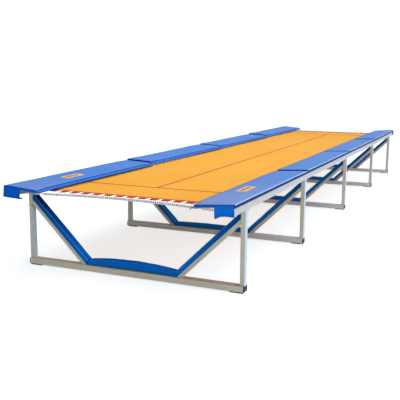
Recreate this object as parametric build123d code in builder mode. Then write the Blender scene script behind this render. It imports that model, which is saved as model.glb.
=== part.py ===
from build123d import *
import os
from math import atan2, cos, degrees, sin, sqrt, tan

# Raised sprung tumbling track: a long laced bed between two side rails,
# carried by five braced trestles and edged with lift-up cushions.
# Millimetres.  Origin: centre of the track on the floor.
# +X to the right across the track, +Y along it to the far end, +Z up.

os.makedirs("parts", exist_ok=True)

# ---- driving dimensions -------------------------------------------------
SIGNS = (-1, 1)             # left and right, or near and far
SIDES = (("left", -1), ("right", 1))
ENDS = (("near", -1), ("far", 1))

SECTION = 2500.0            # one rail section; the track is four of them
HALF_LEN = 2 * SECTION
JOINT_Y = (-SECTION, 0.0, SECTION)
TRESTLE_Y = (-4650.0, *JOINT_Y, 4650.0)
WALL = 3.0                  # wall of the steel tubes

RAIL_OUT = 1250.0           # outer face of rails and posts
RAIL_W = 60.0               # rail tube, across
RAIL_H = 80.0               # rail tube, high
RAIL_Z0 = 810.0             # underside of the rails
RAIL_Z1 = RAIL_Z0 + RAIL_H
RAIL_MID_Z = RAIL_Z0 + RAIL_H / 2
RAIL_X = RAIL_OUT - RAIL_W / 2
RAIL_IN = RAIL_OUT - RAIL_W

BEAM_D = 100.0              # floor beam, along Y
BEAM_H = 60.0               # floor beam, high
BEAM_Z0 = 10.0              # underside of the floor beam, on its foot pads
BEAM_Z1 = BEAM_Z0 + BEAM_H
BEAM_MID_Z = BEAM_Z0 + BEAM_H / 2
BEAM_R = 6.0                # rounding of the beam's long edges
CAP_T = 8.0                 # end cap of the beam
BEAM_END = RAIL_OUT - CAP_T

POST_W = 50.0               # post, across
POST_D = 60.0               # post, along Y
POST_X = RAIL_OUT - POST_W / 2
POST_IN = RAIL_OUT - POST_W
PLATE_T = 5.0               # plate welded on top of each post
PLATE_L = 150.0
PLATE_Z0 = RAIL_Z0 - PLATE_T

BOLT_R = 5.0                # M10
BOLT_DY = 55.0              # bolts before and behind the middle of a trestle
BOLT_HOLE_R = BOLT_R + 0.5
TAPPED_R = BOLT_R + 0.05    # hole in a tapped part

STRUT_X0 = 620.0            # point on the strut's upper edge
STRUT_Z0 = 158.0
STRUT_SLOPE = 0.975
STRUT_T = 36.0              # strut tube, thickness across its slope
STRUT_D = 60.0              # strut tube, along Y
STRUT_WALL = 2.5
STRUT_ANGLE = atan2(STRUT_SLOPE, 1.0)
VERT = 1.0 / cos(STRUT_ANGLE)   # vertical size of a unit thickness across the slope

BED_Z = 848.0               # middle of the bed cloth, rings, ropes and springs
BED_T = 5.0
BED_TOP = BED_Z + BED_T / 2
BED_BOTTOM = BED_Z - BED_T / 2
BED_HALF_W = 925.0
BED_HALF_L = 4720.0

SPRING_PITCH = 125.0
SPRING_N = 38               # springs on each half of one side
SPRING_YS = [SPRING_PITCH * (k - SPRING_N + 0.5) for k in range(2 * SPRING_N)]
HOOK_REACH = 8.0            # how far a spring's tip reaches into the rail
HOLE_R = 4.5                # spring hole in the rail
END_HOLE_Y = 4972.0         # rail hole of the long end springs

ROPE_R = 8.5
ROPE_X = 862.0              # end of the rope
ROPE_Y0 = 4835.0            # rope in the middle of the track
ROPE_BOW = 97.0 / ROPE_X**2     # how far it bows out towards the sides

# (x, y) of the post plates and of their bolts
PLATE_SPOTS = [(sign * RAIL_X, y) for y in TRESTLE_Y for sign in SIGNS]
BOLT_SPOTS = [(x, y + dy) for x, y in PLATE_SPOTS for dy in (-BOLT_DY, BOLT_DY)]


# ---- helpers ------------------------------------------------------------
def save(builder, name):
    """Label the finished piece and write its STEP file."""
    builder.part.label = name
    export_step(builder.part, f"parts/{name}.step")


def across(y):
    """Upright plane across the track at y; it extrudes towards -Y."""
    return Plane.XZ.offset(-y)


def flip(sign, points):
    """Points with their first coordinate multiplied by the sign."""
    return [(sign * a, b) for a, b in points]


def tube_section(width, height, outer_r, inner_r):
    """Section of a rectangular steel tube, drawn into the open sketch."""
    RectangleRounded(width, height, outer_r)
    RectangleRounded(width - 2 * WALL, height - 2 * WALL, inner_r, mode=Mode.SUBTRACT)


def strut_top(x):
    """Height of the strut's upper edge above a distance x from the middle."""
    return STRUT_Z0 + STRUT_SLOPE * (x - STRUT_X0)


def strut_at(z):
    """Distance from the middle at which the strut's upper edge is at z."""
    return STRUT_X0 + (z - STRUT_Z0) / STRUT_SLOPE


def rope_y(x):
    """Distance along the track from its middle to the rope at x."""
    return ROPE_Y0 + ROPE_BOW * x * x


# ---- trestles -----------------------------------------------------------
def build_floor_beam(number, y):
    """Rectangular tube lying across the track."""
    with BuildPart() as beam:
        with BuildSketch(Plane.YZ.offset(-BEAM_END)):
            with Locations((y, BEAM_MID_Z)):
                tube_section(BEAM_D, BEAM_H, BEAM_R, 3)
        extrude(amount=2 * BEAM_END)
    save(beam, f"floor_beam_{number}")


def build_posts(number, y):
    """Two upright tubes standing on the beam."""
    with BuildPart() as posts:
        with BuildSketch(Plane.XY.offset(BEAM_Z1)):
            with Locations((-POST_X, y), (POST_X, y)):
                tube_section(POST_W, POST_D, 5, 2.5)
        extrude(amount=PLATE_Z0 - BEAM_Z1)
    save(posts, f"posts_{number}")


def build_struts(number, y):
    """Sloping tubes from the beam up to the inner face of each post."""
    depth = STRUT_T * VERT
    bore_top = STRUT_WALL * VERT
    bore_bottom = (STRUT_T - STRUT_WALL) * VERT
    overrun = 20            # the bore is cut past both ends
    low_z = BEAM_Z1 - overrun * STRUT_SLOPE
    high_x = POST_IN + overrun
    outline = [
        (strut_at(BEAM_Z1), BEAM_Z1),
        (strut_at(BEAM_Z1 + depth), BEAM_Z1),
        (POST_IN, strut_top(POST_IN) - depth),
        (POST_IN, strut_top(POST_IN)),
    ]
    bore = [
        (strut_at(BEAM_Z1 + bore_top) - overrun, low_z),
        (strut_at(BEAM_Z1 + bore_bottom) - overrun, low_z),
        (high_x, strut_top(high_x) - bore_bottom),
        (high_x, strut_top(high_x) - bore_top),
    ]
    with BuildPart() as struts:
        with BuildSketch(across(y + STRUT_D / 2)):
            for sign in SIGNS:
                with BuildLine():
                    Polyline(*flip(sign, outline), close=True)
                make_face()
        extrude(amount=STRUT_D)
        with BuildSketch(across(y + STRUT_D / 2 - STRUT_WALL)):
            for sign in SIGNS:
                with BuildLine():
                    Polyline(*flip(sign, bore), close=True)
                make_face()
        extrude(amount=STRUT_D - 2 * STRUT_WALL, mode=Mode.SUBTRACT)
    save(struts, f"struts_{number}")


for number, trestle_y in enumerate(TRESTLE_Y, start=1):
    build_floor_beam(number, trestle_y)
    build_posts(number, trestle_y)
    build_struts(number, trestle_y)

# plates welded on the post tops, drilled for the rail bolts
with BuildPart() as post_plates:
    with BuildSketch(Plane.XY.offset(PLATE_Z0)):
        with Locations(*PLATE_SPOTS):
            RectangleRounded(RAIL_W, PLATE_L, 6)
        with Locations(*BOLT_SPOTS):
            Circle(BOLT_HOLE_R, mode=Mode.SUBTRACT)
    extrude(amount=PLATE_T)
save(post_plates, "post_plates")

# hexagon bolts through the plates into the rails
HEAD_T = 6.4
HEAD_APOTHEM = 8.5          # half the width across flats
SHANK_L = 22
with BuildPart() as plate_bolts:
    with BuildSketch(Plane.XY.offset(PLATE_Z0 - HEAD_T)):
        with Locations(*BOLT_SPOTS):
            RegularPolygon(HEAD_APOTHEM, 6, major_radius=False)
    extrude(amount=HEAD_T)
    with BuildSketch(Plane.XY.offset(PLATE_Z0)):
        with Locations(*BOLT_SPOTS):
            Circle(BOLT_R)
    extrude(amount=SHANK_L)
save(plate_bolts, "plate_bolts")

# plastic caps closing both ends of every floor beam, each with a plug
# PLUG_FIT smaller than the tube's bore
PLUG_FIT = 0.4
BEAM_PLUG_L = 22
with BuildPart() as beam_end_caps:
    for trestle_y in TRESTLE_Y:
        for cap_x, plug_x in ((-RAIL_OUT, -BEAM_END), (BEAM_END, BEAM_END - BEAM_PLUG_L)):
            with BuildSketch(Plane.YZ.offset(cap_x)):
                with Locations((trestle_y, BEAM_MID_Z)):
                    RectangleRounded(BEAM_D, BEAM_H, BEAM_R)
            extrude(amount=CAP_T)
            with BuildSketch(Plane.YZ.offset(plug_x)):
                with Locations((trestle_y, BEAM_MID_Z)):
                    RectangleRounded(
                        BEAM_D - 2 * WALL - PLUG_FIT, BEAM_H - 2 * WALL - PLUG_FIT, 2.8
                    )
            extrude(amount=BEAM_PLUG_L)
save(beam_end_caps, "beam_end_caps")

# rubber pads under both ends of every floor beam
FOOT_X, FOOT_W, FOOT_D, FOOT_R = 1170, 140, 92, 10
with BuildPart() as foot_pads:
    with BuildSketch(Plane.XY):
        with Locations(*[(sign * FOOT_X, y) for y in TRESTLE_Y for sign in SIGNS]):
            RectangleRounded(FOOT_W, FOOT_D, FOOT_R)
    extrude(amount=BEAM_Z0, taper=4)
save(foot_pads, "foot_pads")

# small round plugs on the near (-Y) face of the left posts
PLUG_X, PLUG_Z, PLUG_R, PLUG_T = -1209.5, 657.0, 8.0, 2
with BuildPart() as post_plugs:
    for trestle_y in TRESTLE_Y:
        with BuildSketch(across(trestle_y - POST_D / 2)):
            with Locations((PLUG_X, PLUG_Z)):
                Circle(PLUG_R)
        extrude(amount=PLUG_T, taper=12)
save(post_plugs, "post_plugs")


# ---- side rails ---------------------------------------------------------
def build_rail(side, sign, k):
    """Rail section k, counted from the near end, with its holes."""
    y0 = -HALF_LEN + k * SECTION
    y1 = y0 + SECTION
    spring_holes = [(y, BED_Z) for y in SPRING_YS if y0 < y < y1]
    if k == 0:
        spring_holes.append((-END_HOLE_Y, BED_Z))
    if k == 3:
        spring_holes.append((END_HOLE_Y, BED_Z))
    bolt_holes = [(x, y) for x, y in BOLT_SPOTS if x * sign > 0 and y0 < y < y1]
    with BuildPart() as rail:
        with BuildSketch(across(y0)):
            with Locations((sign * RAIL_X, RAIL_MID_Z)):
                tube_section(RAIL_W, RAIL_H, 7, 4)
        extrude(amount=-SECTION)
        # spring holes through the inner wall only
        with BuildSketch(Plane.YZ.offset(RAIL_IN - 2 if sign > 0 else -(RAIL_IN + WALL + 1))):
            with Locations(*spring_holes):
                Circle(HOLE_R)
        extrude(amount=WALL + 3, mode=Mode.SUBTRACT)
        # bolt holes in the underside
        with BuildSketch(Plane.XY.offset(RAIL_Z0 - 1)):
            with Locations(*bolt_holes):
                Circle(BOLT_HOLE_R)
        extrude(amount=WALL + 2, mode=Mode.SUBTRACT)
    save(rail, f"rail_{side}_{k + 1}")


for side, sign in SIDES:
    for k in range(4):
        build_rail(side, sign, k)

# sleeves inside the rails at the three joints
JOINER_HALF_L = 150
JOINER_FIT = 0.5            # sleeve smaller than the rail's bore
JOINER_BORE = 14.5          # sleeve's bore smaller than the rail's bore
HOOK_CUT = 9                # depth of the spring holes in the sleeve
BORE_W, BORE_H = RAIL_W - 2 * WALL, RAIL_H - 2 * WALL
JOINT_SPRINGS = [
    (y, BED_Z) for y in SPRING_YS if min(abs(y - t) for t in JOINT_Y) < JOINER_HALF_L + 10
]
with BuildPart() as rail_joiners:
    for sign in SIGNS:
        for joint_y in JOINT_Y:
            with BuildSketch(across(joint_y - JOINER_HALF_L)):
                with Locations((sign * RAIL_X, RAIL_MID_Z)):
                    RectangleRounded(BORE_W - JOINER_FIT, BORE_H - JOINER_FIT, 3.6)
                    RectangleRounded(
                        BORE_W - JOINER_BORE, BORE_H - JOINER_BORE, 2, mode=Mode.SUBTRACT
                    )
            extrude(amount=-2 * JOINER_HALF_L)
    with BuildSketch(Plane.XY.offset(RAIL_Z0 + 1)):
        with Locations(*[(x, y) for x, y in BOLT_SPOTS if abs(y) < SECTION + PLATE_L]):
            Circle(TAPPED_R)
    extrude(amount=18, mode=Mode.SUBTRACT)
    # spring hooks near a joint reach into the sleeve's wall
    for cut_x in (-RAIL_IN - WALL - HOOK_CUT, RAIL_IN + WALL):
        with BuildSketch(Plane.YZ.offset(cut_x)):
            with Locations(*JOINT_SPRINGS):
                Circle(HOLE_R)
        extrude(amount=HOOK_CUT, mode=Mode.SUBTRACT)
save(rail_joiners, "rail_joiners")

# short tapped bars inside the rails over the end trestles
BAR_W, BAR_T = 44, 8
with BuildPart() as tapped_bars:
    with BuildSketch(Plane.XY.offset(RAIL_Z0 + WALL + 0.05)):
        with Locations(*[(x, y) for x, y in PLATE_SPOTS if abs(y) > SECTION]):
            RectangleRounded(BAR_W, PLATE_L, 4)
        with Locations(*[(x, y) for x, y in BOLT_SPOTS if abs(y) > SECTION + PLATE_L]):
            Circle(TAPPED_R, mode=Mode.SUBTRACT)
    extrude(amount=BAR_T)
save(tapped_bars, "tapped_bars")

# plastic plugs in the four open rail ends: a head outside, a plug inside
HEAD_PLATE_T = 3
RAIL_PLUG_L = 18
with BuildPart() as rail_end_plugs:
    for sign in SIGNS:
        for head_y, plug_y in (
            (-HALF_LEN, -HALF_LEN + RAIL_PLUG_L),
            (HALF_LEN + HEAD_PLATE_T, HALF_LEN),
        ):
            with BuildSketch(across(head_y)):
                with Locations((sign * RAIL_X, RAIL_MID_Z)):
                    RectangleRounded(RAIL_W - 1, RAIL_H - 1, 6.5)
            extrude(amount=HEAD_PLATE_T)
            with BuildSketch(across(plug_y)):
                with Locations((sign * RAIL_X, RAIL_MID_Z)):
                    RectangleRounded(BORE_W - PLUG_FIT, BORE_H - PLUG_FIT, 3.6)
            extrude(amount=RAIL_PLUG_L)
save(rail_end_plugs, "rail_end_plugs")

# ---- cushions on the trestles -------------------------------------------
STRUT_PAD_T = 50.0          # strut cushion, thickness across its slope
STRUT_PAD_TOP = 768.0       # level at which its upper end is cut off
STRUT_PAD_GAP = 0.6         # between strut and cushion
PAD_Y0 = -30.0              # near and far faces of the trestle cushions, from
PAD_Y1 = 68.0               # the middle of the trestle
PAD_R = 13.0                # rounding of their long edges
# floor cushions, first trestle and the others: thickness at the two ends,
# rise of the upper face and rise of the lower face in the middle
FLOOR_PADS = [(54.0, 32.0, 11.0)] + 4 * [(42.0, 10.0, 4.0)]

# mitre between strut cushion and floor cushion: it halves their angle
CORNER_X = strut_at(BEAM_Z1)
MITRE_GAP = 3.0             # from the mitre to either cushion
MITRE_RUN = tan(STRUT_ANGLE / 2)    # inward run of the mitre per unit of height

pad_lower = STRUT_PAD_GAP * VERT                    # lower face above the strut's edge
pad_upper = (STRUT_PAD_T + STRUT_PAD_GAP) * VERT    # upper face above the strut's edge
pad_low_x = CORNER_X + MITRE_GAP
pad_end_x = POST_IN - 1.5
# where the upper face meets the mitre
mitre_x = CORNER_X - MITRE_RUN * pad_upper / (1 + STRUT_SLOPE * MITRE_RUN) + MITRE_GAP
STRUT_PAD_PTS = [
    (pad_low_x, strut_top(pad_low_x) + pad_lower),
    (pad_end_x, strut_top(pad_end_x) + pad_lower),
    (pad_end_x, STRUT_PAD_TOP),
    (strut_at(STRUT_PAD_TOP - pad_upper), STRUT_PAD_TOP),
    (mitre_x, strut_top(mitre_x) + pad_upper),
]
with BuildPart() as strut_pads:
    for trestle_y in TRESTLE_Y:
        with BuildSketch(across(trestle_y + PAD_Y1)):
            for sign in SIGNS:
                with BuildLine():
                    Polyline(*flip(sign, STRUT_PAD_PTS), close=True)
                make_face()
        extrude(amount=PAD_Y1 - PAD_Y0)
    fillet(strut_pads.edges().filter_by(lambda e: e.length > 500), PAD_R)
save(strut_pads, "strut_pads")

with BuildPart() as floor_pads:
    for trestle_y, (thickness, crown, arch) in zip(TRESTLE_Y, FLOOR_PADS):
        low_z = BEAM_Z1 + 0.5
        high_z = low_z + thickness
        low_x = CORNER_X - MITRE_GAP
        high_x = low_x - MITRE_RUN * thickness
        with BuildSketch(across(trestle_y + PAD_Y1)):
            with BuildLine():
                Line((-high_x, high_z), (-low_x, low_z))
                ThreePointArc((-low_x, low_z), (0, low_z + arch), (low_x, low_z))
                Line((low_x, low_z), (high_x, high_z))
                ThreePointArc((high_x, high_z), (0, high_z + crown), (-high_x, high_z))
            make_face()
        extrude(amount=PAD_Y1 - PAD_Y0)
    # only the long edges of the upper face
    fillet(
        floor_pads.edges().filter_by(lambda e: e.length > 500 and e.center().Z > BEAM_Z1 + 30),
        PAD_R,
    )
save(floor_pads, "floor_pads")

# webbing tabs holding the upper end of each strut cushion to its post
TAB_W, TAB_L, TAB_H = 26, 26, 19    # along Y, across, high
TAB_T = 3
TAB_GAP = 0.3
TAB_PTS = [
    (POST_IN - TAB_L, STRUT_PAD_TOP + TAB_GAP),
    (POST_IN - TAB_GAP, STRUT_PAD_TOP + TAB_GAP),
    (POST_IN - TAB_GAP, STRUT_PAD_TOP + TAB_H),
    (POST_IN - TAB_T, STRUT_PAD_TOP + TAB_H),
    (POST_IN - TAB_T, STRUT_PAD_TOP + TAB_T),
    (POST_IN - TAB_L, STRUT_PAD_TOP + TAB_T),
]
with BuildPart() as pad_tabs:
    for trestle_y in TRESTLE_Y:
        with BuildSketch(across(trestle_y + TAB_W / 2)):
            for sign in SIGNS:
                with BuildLine():
                    Polyline(*flip(sign, TAB_PTS), close=True)
                make_face()
        extrude(amount=TAB_W)
save(pad_tabs, "pad_tabs")

# ---- bed ----------------------------------------------------------------
HEM_W = 50.0
HEM_T = 3.0
BAND_IN = 4655.0            # end band, from here ...
BAND_OUT = 4738.0           # ... to here
TAPE_W = 30.0
TAPE_T = 1.2
CROSS_Y = 4065.0            # cross lines on the bed
RING_R = 15.0
RING_WIRE = 5.0             # wire diameter of the hem rings

with BuildPart() as bed_mat:
    with BuildSketch(Plane.XY.offset(BED_BOTTOM)):
        Rectangle(2 * BED_HALF_W, 2 * BED_HALF_L)
    extrude(amount=BED_T)
save(bed_mat, "bed_mat")

# hems sewn on top of the bed along both long edges
with BuildPart() as side_hems:
    with BuildSketch(Plane.XY.offset(BED_TOP)):
        with Locations(*[(sign * (BED_HALF_W - HEM_W / 2), 0) for sign in SIGNS]):
            Rectangle(HEM_W, 2 * BAND_IN - 2)
    extrude(amount=HEM_T)
save(side_hems, "side_hems")

# folded webbing bands round both short ends; section as (y, z)
BAND_PTS = [
    (BAND_IN, BED_TOP),
    (BED_HALF_L, BED_TOP),
    (BED_HALF_L, BED_BOTTOM),
    (BAND_IN, BED_BOTTOM),
    (BAND_IN, BED_BOTTOM - HEM_T),
    (BAND_OUT, BED_BOTTOM - HEM_T),
    (BAND_OUT, BED_TOP + HEM_T),
    (BAND_IN, BED_TOP + HEM_T),
]
with BuildPart() as end_bands:
    for sign in SIGNS:
        with BuildSketch(Plane.YZ.offset(-BED_HALF_W)):
            with BuildLine():
                Polyline(*flip(sign, BAND_PTS), close=True)
            make_face()
        extrude(amount=2 * BED_HALF_W)
save(end_bands, "end_bands")

# sewn line tapes: one along the middle, one across near each end
with BuildPart() as line_tapes:
    with BuildSketch(Plane.XY.offset(BED_TOP)):
        Rectangle(TAPE_W, 2 * (CROSS_Y - TAPE_W / 2))
        with Locations((0, -CROSS_Y), (0, CROSS_Y)):
            Rectangle(2 * (BED_HALF_W - HEM_W - 1), TAPE_W)
    extrude(amount=TAPE_T)
save(line_tapes, "line_tapes")

# half rings standing out of the bed's long edges, one for each spring
with BuildPart() as hem_rings:
    ring = Torus(RING_R, RING_WIRE / 2, mode=Mode.PRIVATE)
    keep_length = 2 * RING_R + 20
    keep = Location((keep_length / 2, 0, 0)) * Box(keep_length, 60, 20, mode=Mode.PRIVATE)
    half_right = ring & keep
    half_left = Location((0, 0, 0), (0, 0, 180)) * half_right
    with Locations(*[(BED_HALF_W, y, BED_Z) for y in SPRING_YS]):
        add(half_right)
    with Locations(*[(-BED_HALF_W, y, BED_Z) for y in SPRING_YS]):
        add(half_left)
save(hem_rings, "hem_rings")

# ropes across both ends, bowed outwards towards the sides
with BuildPart() as end_ropes:
    for sign in SIGNS:
        with BuildLine():
            rope_path = ThreePointArc(
                (-ROPE_X, sign * rope_y(ROPE_X), BED_Z),
                (0, sign * rope_y(0), BED_Z),
                (ROPE_X, sign * rope_y(ROPE_X), BED_Z),
            )
        with BuildSketch(Plane(origin=rope_path @ 0, z_dir=rope_path % 0)):
            Circle(ROPE_R)
        sweep(path=rope_path)
save(end_ropes, "end_ropes")

# lacing between end band and rope, as one thin layer of cord
LACING_T = 8
LACING_X = ROPE_X - 12
ROPE_CLEAR = ROPE_R + 0.6   # from the rope's centre line to the lacing
with BuildPart() as end_lacing:
    with BuildSketch(Plane.XY.offset(BED_Z - LACING_T / 2)):
        for sign in SIGNS:
            corner_y = sign * (rope_y(LACING_X) - ROPE_CLEAR - 1.3)
            band_y = sign * (BAND_OUT + 0.5)
            with BuildLine():
                Polyline(
                    (-LACING_X, corner_y),
                    (-LACING_X, band_y),
                    (LACING_X, band_y),
                    (LACING_X, corner_y),
                )
                ThreePointArc(
                    (LACING_X, corner_y),
                    (0, sign * (rope_y(0) - ROPE_CLEAR)),
                    (-LACING_X, corner_y),
                )
            make_face()
    extrude(amount=LACING_T)
save(end_lacing, "end_lacing")

# ---- springs ------------------------------------------------------------
SPRING_R = 12.5
SPRING_BORE_R = SPRING_R - 3.2      # outer radius less the wire
SHANK_R = 2.4
SHANK_BORE_R = 0.8


def make_spring(tip0, coil0, coil1, tip1):
    """Extension spring along X: a close-wound tube between coil0 and coil1
    with a thin shank out to each tip; a fine bore runs right through it."""
    with BuildPart() as spring:
        with BuildSketch(Plane.XZ):
            with BuildLine():
                Polyline(
                    (tip0, SHANK_BORE_R),
                    (tip0, SHANK_R),
                    (coil0, SHANK_R),
                    (coil0 + 4, SPRING_R),
                    (coil1 - 4, SPRING_R),
                    (coil1, SHANK_R),
                    (tip1, SHANK_R),
                    (tip1, SHANK_BORE_R),
                    (coil1 - 2, SHANK_BORE_R),
                    (coil1 - 7, SPRING_BORE_R),
                    (coil0 + 7, SPRING_BORE_R),
                    (coil0 + 2, SHANK_BORE_R),
                    close=True,
                )
            make_face()
        revolve(axis=Axis.X)
    return spring.part


ring_tip = BED_HALF_W + RING_R + RING_WIRE / 2 + 0.8
rail_tip = RAIL_IN + HOOK_REACH
side_spring = make_spring(ring_tip, ring_tip + 20, RAIL_IN - 26, rail_tip)
for side, turn in (("right", 0), ("left", 180)):
    with BuildPart() as side_springs:
        with Locations(*[Location((0, y, BED_Z), (0, 0, turn)) for y in SPRING_YS]):
            add(side_spring)
    save(side_springs, f"side_springs_{side}")

# the four long springs that pull the ends of the ropes out to the rails
rope_tip_x = ROPE_X + 4.0
rope_tip_y = rope_y(ROPE_X) + 0.6
span_x = rail_tip - rope_tip_x
span_y = END_HOLE_Y - rope_tip_y
end_length = sqrt(span_x**2 + span_y**2)
end_angle = degrees(atan2(span_y, span_x))
end_spring = make_spring(0, 26, end_length - 34, end_length)
with BuildPart() as end_springs:
    with Locations(
        Location((rope_tip_x, rope_tip_y, BED_Z), (0, 0, end_angle)),
        Location((rope_tip_x, -rope_tip_y, BED_Z), (0, 0, -end_angle)),
        Location((-rope_tip_x, rope_tip_y, BED_Z), (0, 0, 180 - end_angle)),
        Location((-rope_tip_x, -rope_tip_y, BED_Z), (0, 0, 180 + end_angle)),
    ):
        add(end_spring)
save(end_springs, "end_springs")

# ---- lift-up side cushions ----------------------------------------------
PAD_GAP = 4.0               # gap between neighbouring cushions
PAD_END = 5035.0            # outer end of the end cushions
PATCH_X, PATCH_Y = 1050.0, 4130.0
PATCH_W, PATCH_L, PATCH_T = 115.0, 335.0, 0.8
FLAP_T = 5.0
FLAP_Y = PAD_END + 0.3      # face of the flap next to the cushion

# section (x, z): flat on the rail, then falling towards the bed
PAD_OUTER_TOP = (1280.0, 930.0)
PAD_INNER_TOP = (870.0, 909.0)
PAD_PTS = [
    (PAD_OUTER_TOP[0], RAIL_Z1 + 0.5),
    PAD_OUTER_TOP,
    PAD_INNER_TOP,
    (858.0, 867.0),
    (RAIL_IN - 4, RAIL_Z1 + 0.5),
]
TOP_ANGLE = atan2(PAD_OUTER_TOP[1] - PAD_INNER_TOP[1], PAD_OUTER_TOP[0] - PAD_INNER_TOP[0])
PATCH_Z = PAD_INNER_TOP[1] + (PATCH_X - PAD_INNER_TOP[0]) * tan(TOP_ANGLE) + 0.15

# outline (x, z) of the end flaps; the right ones droop at their inner corner
FLAP_PTS = {
    "left": [(1072, 917), (1288, 925), (1290, 806), (1180, 797), (1078, 799)],
    "right": [
        (1072, 917), (1274, 925), (1272, 815), (1150, 814), (1120, 800),
        (1098, 785), (1078, 787),
    ],
}


def build_cushion(side, sign, k):
    """Cushion over rail section k; the end ones run on past the rail."""
    y0 = -PAD_END if k == 0 else -HALF_LEN + k * SECTION + PAD_GAP / 2
    y1 = PAD_END if k == 3 else -HALF_LEN + (k + 1) * SECTION - PAD_GAP / 2
    with BuildPart() as cushion:
        with BuildSketch(across(y0)):
            with BuildLine():
                Polyline(*flip(sign, PAD_PTS), close=True)
            make_face()
        extrude(amount=-(y1 - y0))
        fillet(cushion.edges().filter_by(Axis.Y).filter_by(lambda e: e.center().Z > 900), 8)
    save(cushion, f"pad_{side}_{k + 1}")


def build_end_flap(side, sign, where, end):
    """Flap hanging from the end cushion over the rail end."""
    with BuildPart() as flap:
        with BuildSketch(across(-FLAP_Y if end < 0 else FLAP_Y + FLAP_T)):
            with BuildLine():
                Polyline(*flip(sign, FLAP_PTS[side]), close=True)
            make_face()
        extrude(amount=FLAP_T)
    save(flap, f"end_flap_{side}_{where}")


def build_patch(side, sign, where, end):
    """Blank patch on the sloping top of the end cushion."""
    top_plane = Plane(
        origin=(sign * PATCH_X, end * PATCH_Y, PATCH_Z),
        x_dir=(cos(TOP_ANGLE), 0, sign * sin(TOP_ANGLE)),
        z_dir=(-sign * sin(TOP_ANGLE), 0, cos(TOP_ANGLE)),
    )
    with BuildPart() as patch:
        with BuildSketch(top_plane):
            RectangleRounded(PATCH_W, PATCH_L, 8)
        extrude(amount=PATCH_T)
    save(patch, f"patch_{side}_{where}")


for side, sign in SIDES:
    for k in range(4):
        build_cushion(side, sign, k)
    for where, end in ENDS:
        build_end_flap(side, sign, where, end)
        build_patch(side, sign, where, end)
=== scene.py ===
import math

import bpy
import numpy as np
from mathutils import Matrix, Vector, noise


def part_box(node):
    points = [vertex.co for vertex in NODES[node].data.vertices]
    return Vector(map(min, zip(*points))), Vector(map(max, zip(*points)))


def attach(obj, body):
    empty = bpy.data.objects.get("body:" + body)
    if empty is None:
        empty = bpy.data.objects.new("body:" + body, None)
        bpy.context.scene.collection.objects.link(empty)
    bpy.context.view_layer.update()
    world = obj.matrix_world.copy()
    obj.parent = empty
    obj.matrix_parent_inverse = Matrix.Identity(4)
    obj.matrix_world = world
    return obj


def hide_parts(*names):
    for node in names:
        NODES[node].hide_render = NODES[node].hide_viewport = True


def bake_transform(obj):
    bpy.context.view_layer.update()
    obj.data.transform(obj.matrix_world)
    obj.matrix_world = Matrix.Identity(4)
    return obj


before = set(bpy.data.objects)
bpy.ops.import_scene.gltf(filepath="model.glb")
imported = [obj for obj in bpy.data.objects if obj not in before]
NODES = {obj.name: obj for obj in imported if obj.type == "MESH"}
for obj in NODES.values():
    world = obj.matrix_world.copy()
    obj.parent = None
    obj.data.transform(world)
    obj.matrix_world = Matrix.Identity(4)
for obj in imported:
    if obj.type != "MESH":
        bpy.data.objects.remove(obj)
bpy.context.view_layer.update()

scene = bpy.context.scene


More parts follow.
